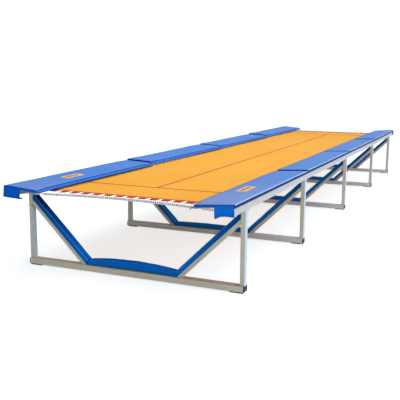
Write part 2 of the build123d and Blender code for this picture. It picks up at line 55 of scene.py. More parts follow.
# --------------------------------------------------------------------------
# materials
# --------------------------------------------------------------------------
class Mat:
    """A Principled material with a small node-building vocabulary."""

    def __init__(self, name, rough=0.5, metal=0.0, spec=0.5):
        self.m = bpy.data.materials.new(name)
        self.m.use_nodes = True
        self.t = self.m.node_tree
        self.n = self.t.nodes
        self.l = self.t.links
        self.p = self.n["Principled BSDF"]
        self.p.inputs["Roughness"].default_value = rough
        self.p.inputs["Metallic"].default_value = metal
        self.p.inputs["Specular IOR Level"].default_value = spec
        tc = self.n.new("ShaderNodeTexCoord")
        self.co = tc.outputs["Object"]
        self.bump_height = None

    def node(self, kind, **kw):
        n = self.n.new(kind)
        for k, v in kw.items():
            if k in n.inputs.keys():
                if hasattr(v, "is_output") or isinstance(v, bpy.types.NodeSocket):
                    self.l.new(v, n.inputs[k])
                else:
                    n.inputs[k].default_value = v
            else:
                setattr(n, k, v)
        return n

    def mapped(self, scale=(1, 1, 1), rot=(0, 0, 0)):
        n = self.n.new("ShaderNodeMapping")
        self.l.new(self.co, n.inputs["Vector"])
        n.inputs["Scale"].default_value = scale
        n.inputs["Rotation"].default_value = rot
        return n.outputs[0]

    def noise(self, scale, detail=3.0, vec=None, rough=0.5):
        n = self.n.new("ShaderNodeTexNoise")
        self.l.new(vec if vec is not None else self.co, n.inputs["Vector"])
        n.inputs["Scale"].default_value = scale
        n.inputs["Detail"].default_value = detail
        n.inputs["Roughness"].default_value = rough
        return n.outputs["Fac"]

    def voronoi(self, scale, vec=None, feature="F1"):
        n = self.n.new("ShaderNodeTexVoronoi")
        n.feature = feature
        self.l.new(vec if vec is not None else self.co, n.inputs["Vector"])
        n.inputs["Scale"].default_value = scale
        return n.outputs["Distance"]

    def wave(self, scale, axis="X", vec=None, distortion=0.0, profile="SIN"):
        n = self.n.new("ShaderNodeTexWave")
        n.bands_direction = axis
        n.wave_profile = profile
        self.l.new(vec if vec is not None else self.co, n.inputs["Vector"])
        n.inputs["Scale"].default_value = scale
        n.inputs["Distortion"].default_value = distortion
        return n.outputs["Fac"]

    def math(self, op, a, b=0.0, c=None, clamp=False):
        n = self.n.new("ShaderNodeMath")
        n.operation = op
        n.use_clamp = clamp
        for i, v in enumerate((a, b, c)):
            if v is None:
                continue
            if isinstance(v, (int, float)):
                n.inputs[i].default_value = v
            else:
                self.l.new(v, n.inputs[i])
        return n.outputs[0]

    def remap(self, v, a, b, c, d):
        n = self.n.new("ShaderNodeMapRange")
        self.l.new(v, n.inputs["Value"])
        for k, x in zip(("From Min", "From Max", "To Min", "To Max"), (a, b, c, d)):
            n.inputs[k].default_value = x
        return n.outputs[0]

    def mix(self, fac, a, b):
        n = self.n.new("ShaderNodeMix")
        n.data_type = "RGBA"
        if isinstance(fac, (int, float)):
            n.inputs[0].default_value = fac
        else:
            self.l.new(fac, n.inputs[0])
        for sock, v in ((n.inputs[6], a), (n.inputs[7], b)):
            if isinstance(v, (tuple, list)):
                sock.default_value = (*v[:3], 1)
            else:
                self.l.new(v, sock)
        return n.outputs[2]

    def crevice_shade(self, distance):
        """1 on open surfaces, lower between neighbouring turns or strands; used to paint shade into crevices."""
        n = self.n.new("ShaderNodeAmbientOcclusion")
        n.samples = 6
        n.inputs["Distance"].default_value = distance
        return n.outputs["AO"]

    def pointiness(self):
        return self.n.new("ShaderNodeNewGeometry").outputs["Pointiness"]

    def color(self, sock):
        self.l.new(sock, self.p.inputs["Base Color"])

    def rough(self, sock):
        self.l.new(sock, self.p.inputs["Roughness"])

    def bump(self, height, strength, distance):
        n = self.n.new("ShaderNodeBump")
        n.inputs["Strength"].default_value = strength
        n.inputs["Distance"].default_value = distance
        self.l.new(height, n.inputs["Height"])
        if self.bump_height is not None:
            self.l.new(self.bump_height, n.inputs["Normal"])
        self.bump_height = n.outputs["Normal"]
        self.l.new(self.bump_height, self.p.inputs["Normal"])


def lin(r, g, b):
    """sRGB 0-255 to linear."""
    out = []
    for c in (r, g, b):
        c /= 255
        out.append(c / 12.92 if c <= 0.04045 else ((c + 0.055) / 1.055) ** 2.4)
    return tuple(out)


def vinyl(name, base, light, dark, rough=0.38, spec=0.3, painted_shade_up=0.0, painted_sheen=0.0):
    """Coated vinyl cover: leather-like grain, faint waviness and scuffs, with a painted highlight on pointy edges."""
    m = Mat(name, rough, 0.0, spec)
    broad = m.noise(2.2, 3)
    fine = m.noise(38, 4)
    c = m.mix(m.remap(broad, 0.3, 0.7, 0, 0.6), base, light)
    c = m.mix(m.remap(fine, 0.35, 0.75, 0.0, 0.10), c, dark)
    # painted highlight: pointy edges are blended towards the light colour
    edge = m.remap(m.pointiness(), 0.51, 0.58, 0.0, 0.35)
    c = m.mix(edge, c, light)
    # painted shade: darker towards the top (object Z), standing in for less light higher up the struts
    if painted_shade_up:
        up = m.n.new("ShaderNodeSeparateXYZ")
        m.l.new(m.co, up.inputs[0])
        c = m.mix(m.remap(up.outputs["Z"], 0.22, 0.74, 0.0, painted_shade_up), c, dark)
    # painted sheen: the near end, most on the right, is painted a greyish lavender
    if painted_sheen:
        at = m.n.new("ShaderNodeSeparateXYZ")
        m.l.new(m.co, at.inputs[0])
        t = m.math("SUBTRACT", m.math("MULTIPLY", at.outputs["X"], 0.3), at.outputs["Y"])
        c = m.mix(m.remap(t, 3.7, 5.5, 0.0, painted_sheen), c, lin(140, 150, 192))
    m.color(c)
    m.rough(m.remap(m.noise(14, 4), 0.3, 0.7, rough - 0.05, rough + 0.08))
    m.bump(m.voronoi(950), 0.16, 0.0004)
    m.bump(m.noise(260, 3), 0.12, 0.0006)
    m.bump(m.noise(9, 2), 0.18, 0.006)
    return m.m


def steel(name, base, light, dark, rough=0.42, metal=0.3, streak_axis=1, painted_highlight_z=None, cool=0.5, far=0.0):
    """Silver lacquer on drawn tube: faint draw lines, mottling and a painted highlight on the edges."""
    m = Mat(name, rough, metal, 0.5)
    s = [60, 60, 60]
    s[streak_axis] = 1.5
    streak = m.noise(1.0, 4, m.mapped(tuple(s)))
    mott = m.noise(7, 4)
    c = m.mix(m.remap(mott, 0.3, 0.7, 0, 1), base, light)
    c = m.mix(m.remap(streak, 0.35, 0.75, 0, 0.4), c, dark)
    # painted highlight: pointy edges are blended towards the light colour
    edge = m.remap(m.pointiness(), 0.51, 0.6, 0.0, 0.5)
    c = m.mix(edge, c, light)
    geo = m.n.new("ShaderNodeNewGeometry")
    nrm = m.n.new("ShaderNodeSeparateXYZ")
    m.l.new(geo.outputs["True Normal"], nrm.inputs[0])
    if far:
        # painted light: the lacquer is painted greyer away from the near end, offsetting the warm bounce light there,
        # and the upward faces on the right half of the near beam's top get a painted reddish bounce light
        at = m.n.new("ShaderNodeSeparateXYZ")
        m.l.new(m.co, at.inputs[0])
        c = m.mix(m.remap(at.outputs["Y"], -4.5, -3.2, 0.0, far), c, lin(214, 216, 218))
        painted_warm_top = m.math("MULTIPLY", m.remap(nrm.outputs["Z"], 0.6, 0.9, 0, 1), m.remap(at.outputs["X"], 0.35, 0.6, 0, 1))
        painted_warm_top = m.math("MULTIPLY", painted_warm_top, m.remap(at.outputs["Y"], -4.5, -4.0, 0.6, 0.0))
        c = m.mix(painted_warm_top, c, lin(170, 116, 108))
    # painted light: faces turned to +X are painted cool blue-white, as if lit by cool light from the right
    c = m.mix(m.remap(nrm.outputs["X"], 0.6, 0.95, 0.0, cool), c, lin(186, 205, 224))
    if painted_highlight_z:
        # the rolled upper corner is painted bright: a painted highlight
        up = m.n.new("ShaderNodeSeparateXYZ")
        m.l.new(m.co, up.inputs[0])
        c = m.mix(m.remap(up.outputs["Z"], painted_highlight_z, painted_highlight_z + 0.008, 0.0, 0.8), c, lin(246, 250, 254))
    m.color(c)
    m.rough(m.remap(m.noise(30, 4), 0.3, 0.7, rough - 0.08, rough + 0.1))
    m.bump(m.noise(420, 3), 0.1, 0.0003)
    m.bump(streak, 0.1, 0.0006)
    return m.m


M_TOP = vinyl("vinyl_blue", lin(68, 128, 204), lin(80, 140, 213), lin(52, 108, 188), 0.42, 0.3, 0.0, 0.75)
M_SIDE = vinyl("vinyl_blue_side", lin(0, 112, 214), lin(10, 126, 224), lin(0, 80, 170), 0.45, 0.1)
M_END = vinyl("vinyl_blue_end", lin(0, 98, 188), lin(6, 110, 200), lin(0, 70, 150), 0.45, 0.1)
M_INNER = vinyl("vinyl_blue_inner", lin(10, 98, 186), lin(22, 110, 198), lin(0, 72, 150), 0.4, 0.2)
M_FLAP_L_SHADE = vinyl("vinyl_blue_flap_painted_shade", lin(0, 92, 186), lin(2, 102, 198), lin(0, 66, 150), 0.5, 0.04)
M_UNDERSIDE_AND_SHADE = vinyl("vinyl_underside_and_painted_shade", lin(6, 24, 60), lin(12, 34, 76), lin(2, 12, 34), 0.55, 0.15)
# strut and floor cushion vinyl: the front copy and the top copy differ mostly in their painted shade towards the top
M_STRUTPAD = vinyl("vinyl_navy", lin(0, 108, 204), lin(2, 118, 214), lin(0, 42, 92), 0.5, 0.03, 0.9)
M_PADFRONT = vinyl("vinyl_navy_front", lin(0, 108, 198), lin(2, 118, 210), lin(0, 62, 124), 0.5, 0.03, 0.8)
# pale edge vinyl: a painted highlight along the cushions' front top edge
M_PADLINE_HIGHLIGHT = vinyl("vinyl_pad_edge_highlight", lin(40, 140, 220), lin(60, 156, 230), lin(6, 70, 140), 0.35, 0.3, 0.5)
M_PIPING = vinyl("vinyl_piping", lin(14, 58, 142), lin(24, 72, 160), lin(6, 34, 100), 0.5, 0.05)
M_EDGE_HIGHLIGHT = vinyl("vinyl_edge_painted_highlight", lin(164, 200, 240), lin(184, 214, 246), lin(130, 170, 222), 0.35, 0.5)
M_SEAM_HIGHLIGHT = vinyl("vinyl_piping_painted_highlight", lin(24, 118, 224), lin(36, 132, 234), lin(4, 60, 140), 0.35, 0.4, 0.6)
M_STEEL_X = steel("steel_beam", lin(216, 200, 170), lin(230, 216, 188), lin(180, 168, 142), 0.5, 0.1, 0, None, 0.5, 0.75)
M_STEEL_Z = steel("steel_post", lin(198, 188, 156), lin(214, 206, 178), lin(168, 158, 134), 0.5, 0.1, 2, None, 0.75)
M_RAIL = steel("steel_rail", lin(190, 182, 168), lin(204, 196, 184), lin(164, 162, 156), 0.42, 0.15, 1, 0.880, 0.0)
M_WELD = steel("weld_bead", lin(176, 172, 160), lin(200, 196, 186), lin(128, 122, 108), 0.5, 0.5, 0)


def zinc():
    m = Mat("zinc_plate", 0.35, 0.9)
    v = m.voronoi(70)
    m.color(m.mix(m.remap(v, 0, 0.8, 0, 1), lin(170, 172, 178), lin(206, 208, 214)))
    m.rough(m.remap(m.noise(60), 0.3, 0.7, 0.25, 0.5))
    m.bump(m.noise(300), 0.15, 0.0004)
    return m.m


def wire():
    m = Mat("spring_wire", 0.42, 0.3)
    c = m.mix(m.remap(m.noise(80, 4), 0.3, 0.7, 0, 1), lin(186, 178, 164), lin(214, 208, 194))
    # painted shade: darker between neighbouring turns of the coil
    m.color(m.mix(m.remap(m.crevice_shade(0.02), 0.35, 0.8, 0.92, 0.0), c, lin(52, 44, 38)))
    m.rough(m.remap(m.noise(140), 0.3, 0.7, 0.28, 0.5))
    m.bump(m.noise(600), 0.12, 0.0003)
    return m.m


def black(name, rough, tex):
    m = Mat(name, rough, 0.0, 0.4)
    m.color(m.mix(m.remap(m.noise(25, 4), 0.3, 0.7, 0, 1), lin(18, 19, 22), lin(38, 40, 45)))
    m.rough(m.remap(m.noise(50), 0.3, 0.7, rough - 0.08, rough + 0.12))
    m.bump(m.voronoi(tex), 0.25, 0.0005)
    return m.m


def weave():
    """Two sets of flat strings crossing over and under at a 12 mm pitch."""
    m = Mat("bed_weave", 0.7, 0.0, 0.12)
    pitch = 0.012
    k = 2 * math.pi / pitch
    sx = m.n.new("ShaderNodeSeparateXYZ")
    m.l.new(m.co, sx.inputs[0])
    fx = m.math("MULTIPLY", sx.outputs["X"], k)
    fy = m.math("MULTIPLY", sx.outputs["Y"], k)
    cx = m.math("COSINE", fx)
    cy = m.math("COSINE", fy)
    over = m.math("MULTIPLY", m.math("COSINE", m.math("MULTIPLY", fx, 0.5)), m.math("COSINE", m.math("MULTIPLY", fy, 0.5)))
    over = m.math("GREATER_THAN", over, 0.0)
    warp = m.math("ADD", m.math("MULTIPLY", cx, 0.5), 0.5)
    weft = m.math("ADD", m.math("MULTIPLY", cy, 0.5), 0.5)
    h = m.n.new("ShaderNodeMix")
    h.data_type = "FLOAT"
    m.l.new(over, h.inputs[0])
    m.l.new(warp, h.inputs[2])
    m.l.new(weft, h.inputs[3])
    height = h.outputs[0]
    broad = m.remap(m.noise(1.6, 3), 0.3, 0.7, 0, 1)
    c = m.mix(broad, lin(252, 172, 50), lin(254, 180, 62))
    # painted shade: the low parts of the weave are painted darker
    c = m.mix(m.remap(height, 0.0, 0.5, 0.3, 0.0), c, lin(222, 132, 30))
    soil = m.remap(m.noise(5, 5), 0.52, 0.8, 0.0, 0.12)
    c = m.mix(soil, c, lin(232, 150, 66))
    m.color(c)
    m.bump(height, 0.35, 0.0015)
    m.bump(m.noise(900, 2), 0.15, 0.0004)
    return m.m


def webbing(name, base, light, dark, axis, pitch=0.0022, rough=0.7):
    """Sewn webbing: fine ribs across its length."""
    m = Mat(name, rough, 0.0, 0.3)
    rib = m.wave(1.0 / pitch / (2 * math.pi) * 3.14159 * 0.5, axis)
    c = m.mix(m.remap(m.noise(9, 4), 0.3, 0.7, 0, 1), base, light)
    # painted shade: the troughs of the ribs are painted darker
    c = m.mix(m.remap(rib, 0.0, 0.6, 0.35, 0.0), c, dark)
    m.color(c)
    m.bump(rib, 0.35, 0.0006)
    m.bump(m.noise(700), 0.2, 0.0004)
    return m.m


def cord(name, base, light, dark, gap_shade=None):
    m = Mat(name, 0.78, 0.0, 0.25)
    fib = m.noise(1.0, 3, m.mapped((420, 420, 420)))
    c = m.mix(m.remap(m.noise(12, 3), 0.3, 0.7, 0, 1), base, light)
    c = m.mix(m.remap(fib, 0.35, 0.7, 0.35, 0.0), c, dark)
    if gap_shade:
        # painted shade: darker in the crevices between strands and turns
        c = m.mix(m.remap(m.crevice_shade(0.012), 0.35, 0.85, 0.8, 0.0), c, gap_shade)
    m.color(c)
    m.bump(fib, 0.5, 0.0008)
    return m.m


M_ZINC = zinc()
M_WIRE = wire()
M_CAP = black("cap_plastic", 0.5, 500)
M_FOOT = black("foot_rubber", 0.75, 260)
M_WEAVE = weave()
M_RED_X = webbing("webbing_red", lin(214, 52, 44), lin(226, 66, 54), lin(170, 32, 28), "X")
M_TAPE = webbing("tape_red", lin(222, 66, 42), lin(232, 80, 52), lin(176, 40, 30), "Y")
M_HEM = webbing("hem_orange", lin(238, 140, 50), lin(248, 158, 70), lin(196, 104, 30), "Y")
M_STRAP = webbing("strap_blue", lin(10, 70, 160), lin(30, 96, 190), lin(4, 40, 104), "Z")
M_CURL = webbing("strap_navy", lin(14, 30, 70), lin(24, 44, 92), lin(6, 14, 40), "Z")
M_TIE = webbing("tie_grey", lin(96, 112, 150), lin(120, 136, 170), lin(60, 74, 108), "Z")
M_TAB = webbing("tab_pale", lin(226, 216, 192), lin(240, 232, 212), lin(170, 160, 136), "X")
M_ROPE = cord("rope_tan", lin(206, 178, 138), lin(224, 198, 160), lin(160, 132, 96), lin(110, 84, 58))
# dark rope core: painted shade between the strands
M_CORE_SHADE = cord("rope_core_painted_shade", lin(96, 82, 66), lin(120, 104, 84), lin(60, 50, 40))
M_LACE = cord("lace_cream", lin(255, 248, 234), lin(255, 253, 246), lin(246, 230, 204), lin(186, 164, 132))
M_STITCH = cord("stitch_thread", lin(120, 160, 220), lin(150, 184, 232), lin(70, 110, 170))


def patch_mat():
    m = Mat("patch_orange", 0.5, 0.0, 0.4)
    c = m.mix(m.remap(m.noise(30, 4), 0.3, 0.7, 0, 1), lin(250, 186, 88), lin(254, 198, 108))
    m.color(c)
    m.bump(m.noise(500), 0.12, 0.0003)
    return m.m


def band_mat():
    m = Mat("patch_band", 0.5, 0.0, 0.4)
    m.color(m.mix(m.remap(m.noise(30, 4), 0.3, 0.7, 0, 1), lin(168, 92, 52), lin(190, 110, 66)))
    m.bump(m.noise(500), 0.12, 0.0003)
    return m.m


M_PATCH = patch_mat()
M_BAND = band_mat()


# --------------------------------------------------------------------------
# mesh tools
# --------------------------------------------------------------------------
def make(name, verts, faces, material, body=None, slot=None, replaces=(), smooth=True):
    me = bpy.data.meshes.new(name)
    me.from_pydata([tuple(v) for v in verts], [], [tuple(f) for f in faces])
    me.validate()
    me.update()
    if smooth:
        me.shade_smooth()
    for mm in material if isinstance(material, (list, tuple)) else (material,):
        me.materials.append(mm)
    o = bpy.data.objects.new(name, me)
    scene.collection.objects.link(o)
    if body:
        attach(o, body)
    if replaces:
        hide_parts(*replaces)
    return o


class Bag:
    """Collects several pieces of mesh into one object."""

    def __init__(self):
        self.v, self.f, self.n = [], [], 0

    def add(self, verts, faces):
        verts = np.asarray(verts, float)
        self.v.append(verts)
        self.f.extend([tuple(i + self.n for i in face) for face in faces])
        self.n += len(verts)

    def make(self, name, material, **kw):
        return make(name, np.concatenate(self.v), self.f, material, **kw)


def smooth_path(points, step):
    """Catmull-Rom through the points, resampled at about one step."""
    p = np.asarray(points, float)
    out = []
    for i in range(len(p) - 1):
        a, b = p[i], p[i + 1]
        pa = p[i - 1] if i else 2 * a - b
        pb = p[i + 2] if i + 2 < len(p) else 2 * b - a
        n = max(2, int(np.linalg.norm(b - a) / step))
        for k in range(n):
            t = k / n
            out.append(
                0.5 * (2 * a + (b - pa) * t + (2 * pa - 5 * a + 4 * b - pb) * t * t + (3 * a - pa - 3 * b + pb) * t**3)
            )
    out.append(p[-1])
    return np.array(out)


def tube(path, radius, sides=8, closed=False, flat=1.0, up=None):
    """A swept tube. radius may be one number or one for each point."""
    p = np.asarray(path, float)
    n = len(p)
    r = np.full(n, radius) if np.isscalar(radius) else np.asarray(radius, float)
    if closed:
        tan = np.roll(p, -1, 0) - np.roll(p, 1, 0)
    else:
        tan = np.gradient(p, axis=0)
    tan /= np.linalg.norm(tan, axis=1)[:, None] + 1e-12
    side = np.zeros_like(p)
    ref = np.array([0, 0, 1.0]) if up is None else np.array(up, float)
    if abs(tan[0] @ ref) > 0.9:
        ref = np.array([1.0, 0, 0])
    s = np.cross(tan[0], ref)
    s /= np.linalg.norm(s)
    for i in range(n):
        if up is not None:
            q = np.cross(tan[i], np.array(up, float))
            if np.linalg.norm(q) > 0.05:
                s = q
        s = s - (s @ tan[i]) * tan[i]
        s /= np.linalg.norm(s) + 1e-12
        side[i] = s
    other = np.cross(side, tan)
    ang = np.linspace(0, 2 * math.pi, sides, endpoint=False)
    v = (
        p[:, None]
        + side[:, None] * (np.cos(ang)[None, :, None] * r[:, None, None])
        + other[:, None] * (np.sin(ang)[None, :, None] * r[:, None, None] * flat)
    ).reshape(-1, 3)
    f = []
    last = n if closed else n - 1
    for i in range(last):
        j = (i + 1) % n
        for k in range(sides):
            m = (k + 1) % sides
            f.append((i * sides + k, j * sides + k, j * sides + m, i * sides + m))
    if not closed:
        f.append(tuple(range(sides)))
        f.append(tuple((n - 1) * sides + k for k in reversed(range(sides))))
    return v, f


def grid_faces(nu, nv, base=0, flip=False, wrap_u=False):
    f = []
    for i in range(nu if wrap_u else nu - 1):
        j = (i + 1) % nu
        for k in range(nv - 1):
            q = (base + i * nv + k, base + j * nv + k, base + j * nv + k + 1, base + i * nv + k + 1)
            f.append(q[::-1] if flip else q)
    return f


def ticks(length, r, step):
    """Sample places along an edge: dense inside the rounded ends."""
    inner = max(1, int(round((length - 2 * r) / step)))
    a = [0, r * 0.3, r * 0.65]
    mid = list(np.linspace(r, length - r, inner + 1))
    return np.array(a + mid + [length - x for x in reversed(a)])


def box_surface(xs, ys, zs, r):
    """Surface grid of a box with rounded edges.  Returns vertices, faces and the integer grid place of each vertex."""
    index, verts, keys = {}, [], []
    nx, ny, nz = len(xs) - 1, len(ys) - 1, len(zs) - 1
    lo = np.array([xs[0] + r, ys[0] + r, zs[0] + r])
    hi = np.array([xs[-1] - r, ys[-1] - r, zs[-1] - r])

    def vid(i, j, k):
        key = (i, j, k)
        if key not in index:
            p = np.array([xs[i], ys[j], zs[k]])
            q = np.minimum(np.maximum(p, lo), hi)
            d = p - q
            m = np.linalg.norm(d)
            if m > 1e-9:
                p = q + d / m * r
            index[key] = len(verts)
            verts.append(p)
            keys.append(key)
        return index[key]

    faces = []
    for i in range(nx):
        for j in range(ny):
            faces.append((vid(i, j, 0), vid(i, j + 1, 0), vid(i + 1, j + 1, 0), vid(i + 1, j, 0)))
            faces.append((vid(i, j, nz), vid(i + 1, j, nz), vid(i + 1, j + 1, nz), vid(i, j + 1, nz)))
    for j in range(ny):
        for k in range(nz):
            faces.append((vid(0, j, k), vid(0, j, k + 1), vid(0, j + 1, k + 1), vid(0, j + 1, k)))
            faces.append((vid(nx, j, k), vid(nx, j + 1, k), vid(nx, j + 1, k + 1), vid(nx, j, k + 1)))
    for i in range(nx):
        for k in range(nz):
            faces.append((vid(i, 0, k), vid(i + 1, 0, k), vid(i + 1, 0, k + 1), vid(i, 0, k + 1)))
            faces.append((vid(i, ny, k), vid(i, ny, k + 1), vid(i + 1, ny, k + 1), vid(i + 1, ny, k)))
    return np.array(verts), faces, np.array(keys), index


def inflate(verts, faces, pins, cap, pressure=4.0, frames=20, mass=0.15):
    """Cloth simulation of a sewn cover pressed outwards by its foam, capped to a few millimetres."""
    me = bpy.data.meshes.new("sim")
    me.from_pydata([tuple(v) for v in verts], [], [tuple(f) for f in faces])
    me.update()
    o = bpy.data.objects.new("sim", me)
    scene.collection.objects.link(o)
    g = o.vertex_groups.new(name="pin")
    g.add([int(i) for i in pins], 1.0, "REPLACE")
    mod = o.modifiers.new("cloth", "CLOTH")
    s = mod.settings
    s.quality = 5
    s.mass = mass
    s.use_pressure = True
    s.uniform_pressure_force = pressure
    s.vertex_group_mass = "pin"
    s.tension_stiffness = 12
    s.compression_stiffness = 12
    s.shear_stiffness = 5
    s.bending_stiffness = 0.5
    s.effector_weights.gravity = 0
    mod.collision_settings.use_collision = False
    mod.point_cache.frame_start = 1
    mod.point_cache.frame_end = frames
    for f in range(1, frames + 1):
        scene.frame_set(f)
    dg = bpy.context.evaluated_depsgraph_get()
    ev = o.evaluated_get(dg)
    co = np.zeros(len(verts) * 3, np.float32)
    ev.data.vertices.foreach_get("co", co)
    co = co.reshape(-1, 3).astype(float)
    scene.frame_set(1)
    bpy.data.objects.remove(o)
    bpy.data.meshes.remove(me)
    d = co - verts
    m = np.linalg.norm(d, axis=1)
    print("inflate: moved mean %.4f max %.4f" % (m.mean(), m.max()))
    keep = cap * np.tanh(m / cap) / (m + 1e-12)
    return verts + d * keep[:, None]


def normals_of(verts, faces):
    n = np.zeros_like(verts)
    for f in faces:
        a, b, c = verts[f[0]], verts[f[1]], verts[f[2]]
        q = np.cross(b - a, c - a)
        for i in f:
            n[i] += q
    return n / (np.linalg.norm(n, axis=1)[:, None] + 1e-12)


def wobble(p, scale, seed):
    return noise.noise(Vector((p[0] * scale + seed, p[1] * scale - seed, p[2] * scale + 2.3 * seed)))


# --------------------------------------------------------------------------
# steelwork: CAD nodes keep their shape and get their finish
# --------------------------------------------------------------------------
def dress(node, material):
    o = NODES[node]
    o.data.materials.clear()
    o.data.materials.append(material)


for n in NODES:
    if n.startswith("floor_beam"):
        dress(n, M_STEEL_X)
    elif n.startswith("posts_") or n.startswith("struts_") or n == "post_plates":
        dress(n, M_STEEL_Z)
    elif n.startswith("rail_left") or n.startswith("rail_right"):
        dress(n, M_RAIL)
    elif n in ("rail_joiners", "tapped_bars", "plate_bolts"):
        dress(n, M_ZINC)
    elif n in ("beam_end_caps", "rail_end_plugs", "post_plugs"):
        dress(n, M_CAP)
    elif n == "foot_pads":
        dress(n, M_FOOT)

TRESTLES = []
for i in range(1, 6):
    lo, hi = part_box(f"floor_beam_{i}")
    TRESTLES.append((lo.y + hi.y) / 2)
beam_lo, beam_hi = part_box("floor_beam_1")
post_lo, post_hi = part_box("posts_1")
strut_lo, strut_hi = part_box("struts_1")
rail_lo, rail_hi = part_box("rail_right_1")
POST_IN = strut_hi.x
POST_OUT = post_hi.x
SLOPE = 0.975
STRUT_T = 0.036
STRUT_HD = 0.030
PAD_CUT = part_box("strut_pads")[1].z
ANG = math.atan(SLOPE)


def strut_top(x):
    return 0.158 + SLOPE * (x - 0.620)


def weld_loop(bag, path, r, seed):
    """A weld bead: overlapping ripples along a path."""
    p = smooth_path(path, 0.0032)
    rr = [
        r * (1 + 0.22 * math.sin(i * 1.55) + 0.25 * noise.noise(Vector((i * 0.3, seed, 0)))) for i in range(len(p))
    ]
    bag.add(*tube(p, rr, 6))


welds = Bag()
for ti, ty in enumerate(TRESTLES):
    d = (post_hi.y - post_lo.y) / 2
    for s in (-1, 1):
        z = beam_hi.z
        xo, xi = s * (POST_OUT - 0.004), s * POST_IN
        for q, sgn in ((ty - d, -1), (ty + d, 1)):
            weld_loop(welds, [(xi, q, z + 0.001), ((xi + xo) / 2, q, z + 0.001), (xo, q, z + 0.001)], 0.0026, ti + s)
        weld_loop(welds, [(xi, ty - d + 0.004, z + 0.001), (xi, ty, z + 0.001), (xi, ty + d - 0.004, z + 0.001)], 0.0026, ti + 7 + s)
        # strut to post, both faces
        zt, zb = strut_top(POST_IN), strut_top(POST_IN) - STRUT_T / math.cos(ANG)
        for y in (ty - STRUT_HD, ty + STRUT_HD):
            weld_loop(welds, [(xi, y, zb), (xi, y, (zt + zb) / 2), (xi, y, zt)], 0.0024, ti + 11 + s)
        weld_loop(welds, [(xi, ty - STRUT_HD, zb - 0.001), (xi, ty, zb - 0.001), (xi, ty + STRUT_HD, zb - 0.001)], 0.0024, ti + 13 + s)
        # strut to beam
        xa = 0.620 + (z - 0.158) / SLOPE
        xb = xa + STRUT_T / math.cos(ANG) / SLOPE
        for y in (ty - STRUT_HD, ty + STRUT_HD):
            weld_loop(welds, [(s * xa, y, z + 0.001), (s * (xa + xb) / 2, y, z + 0.001), (s * xb, y, z + 0.001)], 0.0024, ti + 17 + s)
        weld_loop(welds, [(s * xb, ty - STRUT_HD, z + 0.001), (s * xb, ty, z + 0.001), (s * xb, ty + STRUT_HD, z + 0.001)], 0.0024, ti + 19 + s)
welds.make("weld_beads", M_WELD, body="frame", slot="steel")

# --------------------------------------------------------------------------
# strut cushions and floor cushions
# --------------------------------------------------------------------------
PAD_W = 0.098
PAD_T = 0.050
PAD_Y0 = -0.030             # front of the trestle cushions from the trestle middle
LEAN = math.tan(ANG / 2)


def wrinkle(verts, faces, amp, scale, seed, mask=None):
    n = normals_of(verts, faces)
    out = verts.copy()
    for i, p in enumerate(verts):
        w = 1.0 if mask is None else mask[i]
        if w:
            out[i] += n[i] * amp * w * (wobble(p, scale, seed) + 0.5 * wobble(p, scale * 2.3, seed + 9))
    return out


def seam_loops(verts, index, nx, ny, nz, which):
    """Paths along the long sewn edges of a box grid."""
    loops = []
    for k in which:
        ring = (
            [(i, 0, k) for i in range(nx)]
            + [(nx, j, k) for j in range(ny)]
            + [(i, ny, k) for i in range(nx, 0, -1)]
            + [(0, j, k) for j in range(ny, 0, -1)]
        )
        loops.append(np.array([verts[index[q]] for q in ring]))
    return loops


def build_strut_pad():
    length = 0.92
    ys = ticks(PAD_W, 0.014, 0.008)
    zs = ticks(PAD_T, 0.014, 0.008)
    # ends squarer than the long edges: rounded in a stretched space
    xs = ticks(length * 6, 0.014, 0.078)
    v, f, keys, index = box_surface(xs, ys, zs, 0.014)
    v[:, 0] /= 6
    pins = [i for i, k in enumerate(keys) if k[2] == 0]
    # long cover, held along its underside: it swells between its ends
    v = inflate(v, f, pins, 0.004, 6.0)
    x0 = 0.620 + (beam_hi.z - 0.158) / SLOPE + 0.0035
    z0 = beam_hi.z + 0.0012
    out = np.zeros_like(v)
    for i, (X, Y, Z) in enumerate(v):
        u = X / length
        start = Z * LEAN
        # the upper end meets the post below and is cut level above
        end = (POST_IN - 0.0008 - x0 + Z * math.sin(ANG)) / math.cos(ANG)
        end = min(end, (PAD_CUT - 0.001 - z0 - Z * math.cos(ANG)) / math.sin(ANG))
        along = start + (end - start) * u
        # thickness bows out a little in the middle of its length
        zz = Z * (1 + 0.04 * math.sin(math.pi * min(max(u, 0), 1)))
        px = x0 + along * math.cos(ANG) - zz * math.sin(ANG)
        pz = z0 + along * math.sin(ANG) + zz * math.cos(ANG)
        out[i] = (px, Y + PAD_Y0, pz)
    top = [i for i, k in enumerate(keys) if k[2] > 0]
    mask = np.zeros(len(v))
    mask[top] = 1
    return out, f, keys, index, (len(xs) - 1, len(ys) - 1, len(zs) - 1), mask


def build_floor_pad(T, rise, arch):
    xa = 0.620 + (beam_hi.z - 0.158) / SLOPE - 0.0035
    length = 2 * xa
    ys = ticks(PAD_W, 0.014, 0.008)
    zs = ticks(T, 0.014, 0.009)
    xs = ticks(length * 3, 0.014, 0.048)
    v, f, keys, index = box_surface(xs, ys, zs, 0.014)
    v[:, 0] /= 3
    pins = [i for i, k in enumerate(keys) if k[2] == 0]
    v = inflate(v, f, pins, 0.004, 6.0)
    out = np.zeros_like(v)
    for i, (X, Y, Z) in enumerate(v):
        u = 2 * X / length - 1
        w = Z / T
        x = u * (xa - LEAN * Z)
        crown = (rise * w + arch * (1 - w)) * (1 - u * u)
        out[i] = (x, Y + PAD_Y0, beam_hi.z + 0.001 + Z + crown)
    mask = np.array([1.0 if k[2] > 0 else 0.0 for k in keys])
    return out, f, keys, index, (len(xs) - 1, len(ys) - 1, len(zs) - 1), mask


sv, sf, sk, si, sn, smask = build_strut_pad()
# the floor cushion of the first trestle is fuller than the others
floor_near = build_floor_pad(0.054, 0.032, 0.011)
floor_rest = build_floor_pad(0.042, 0.010, 0.004)


def mirror_x(v):
    v = v.copy()
    v[:, 0] *= -1
    return v


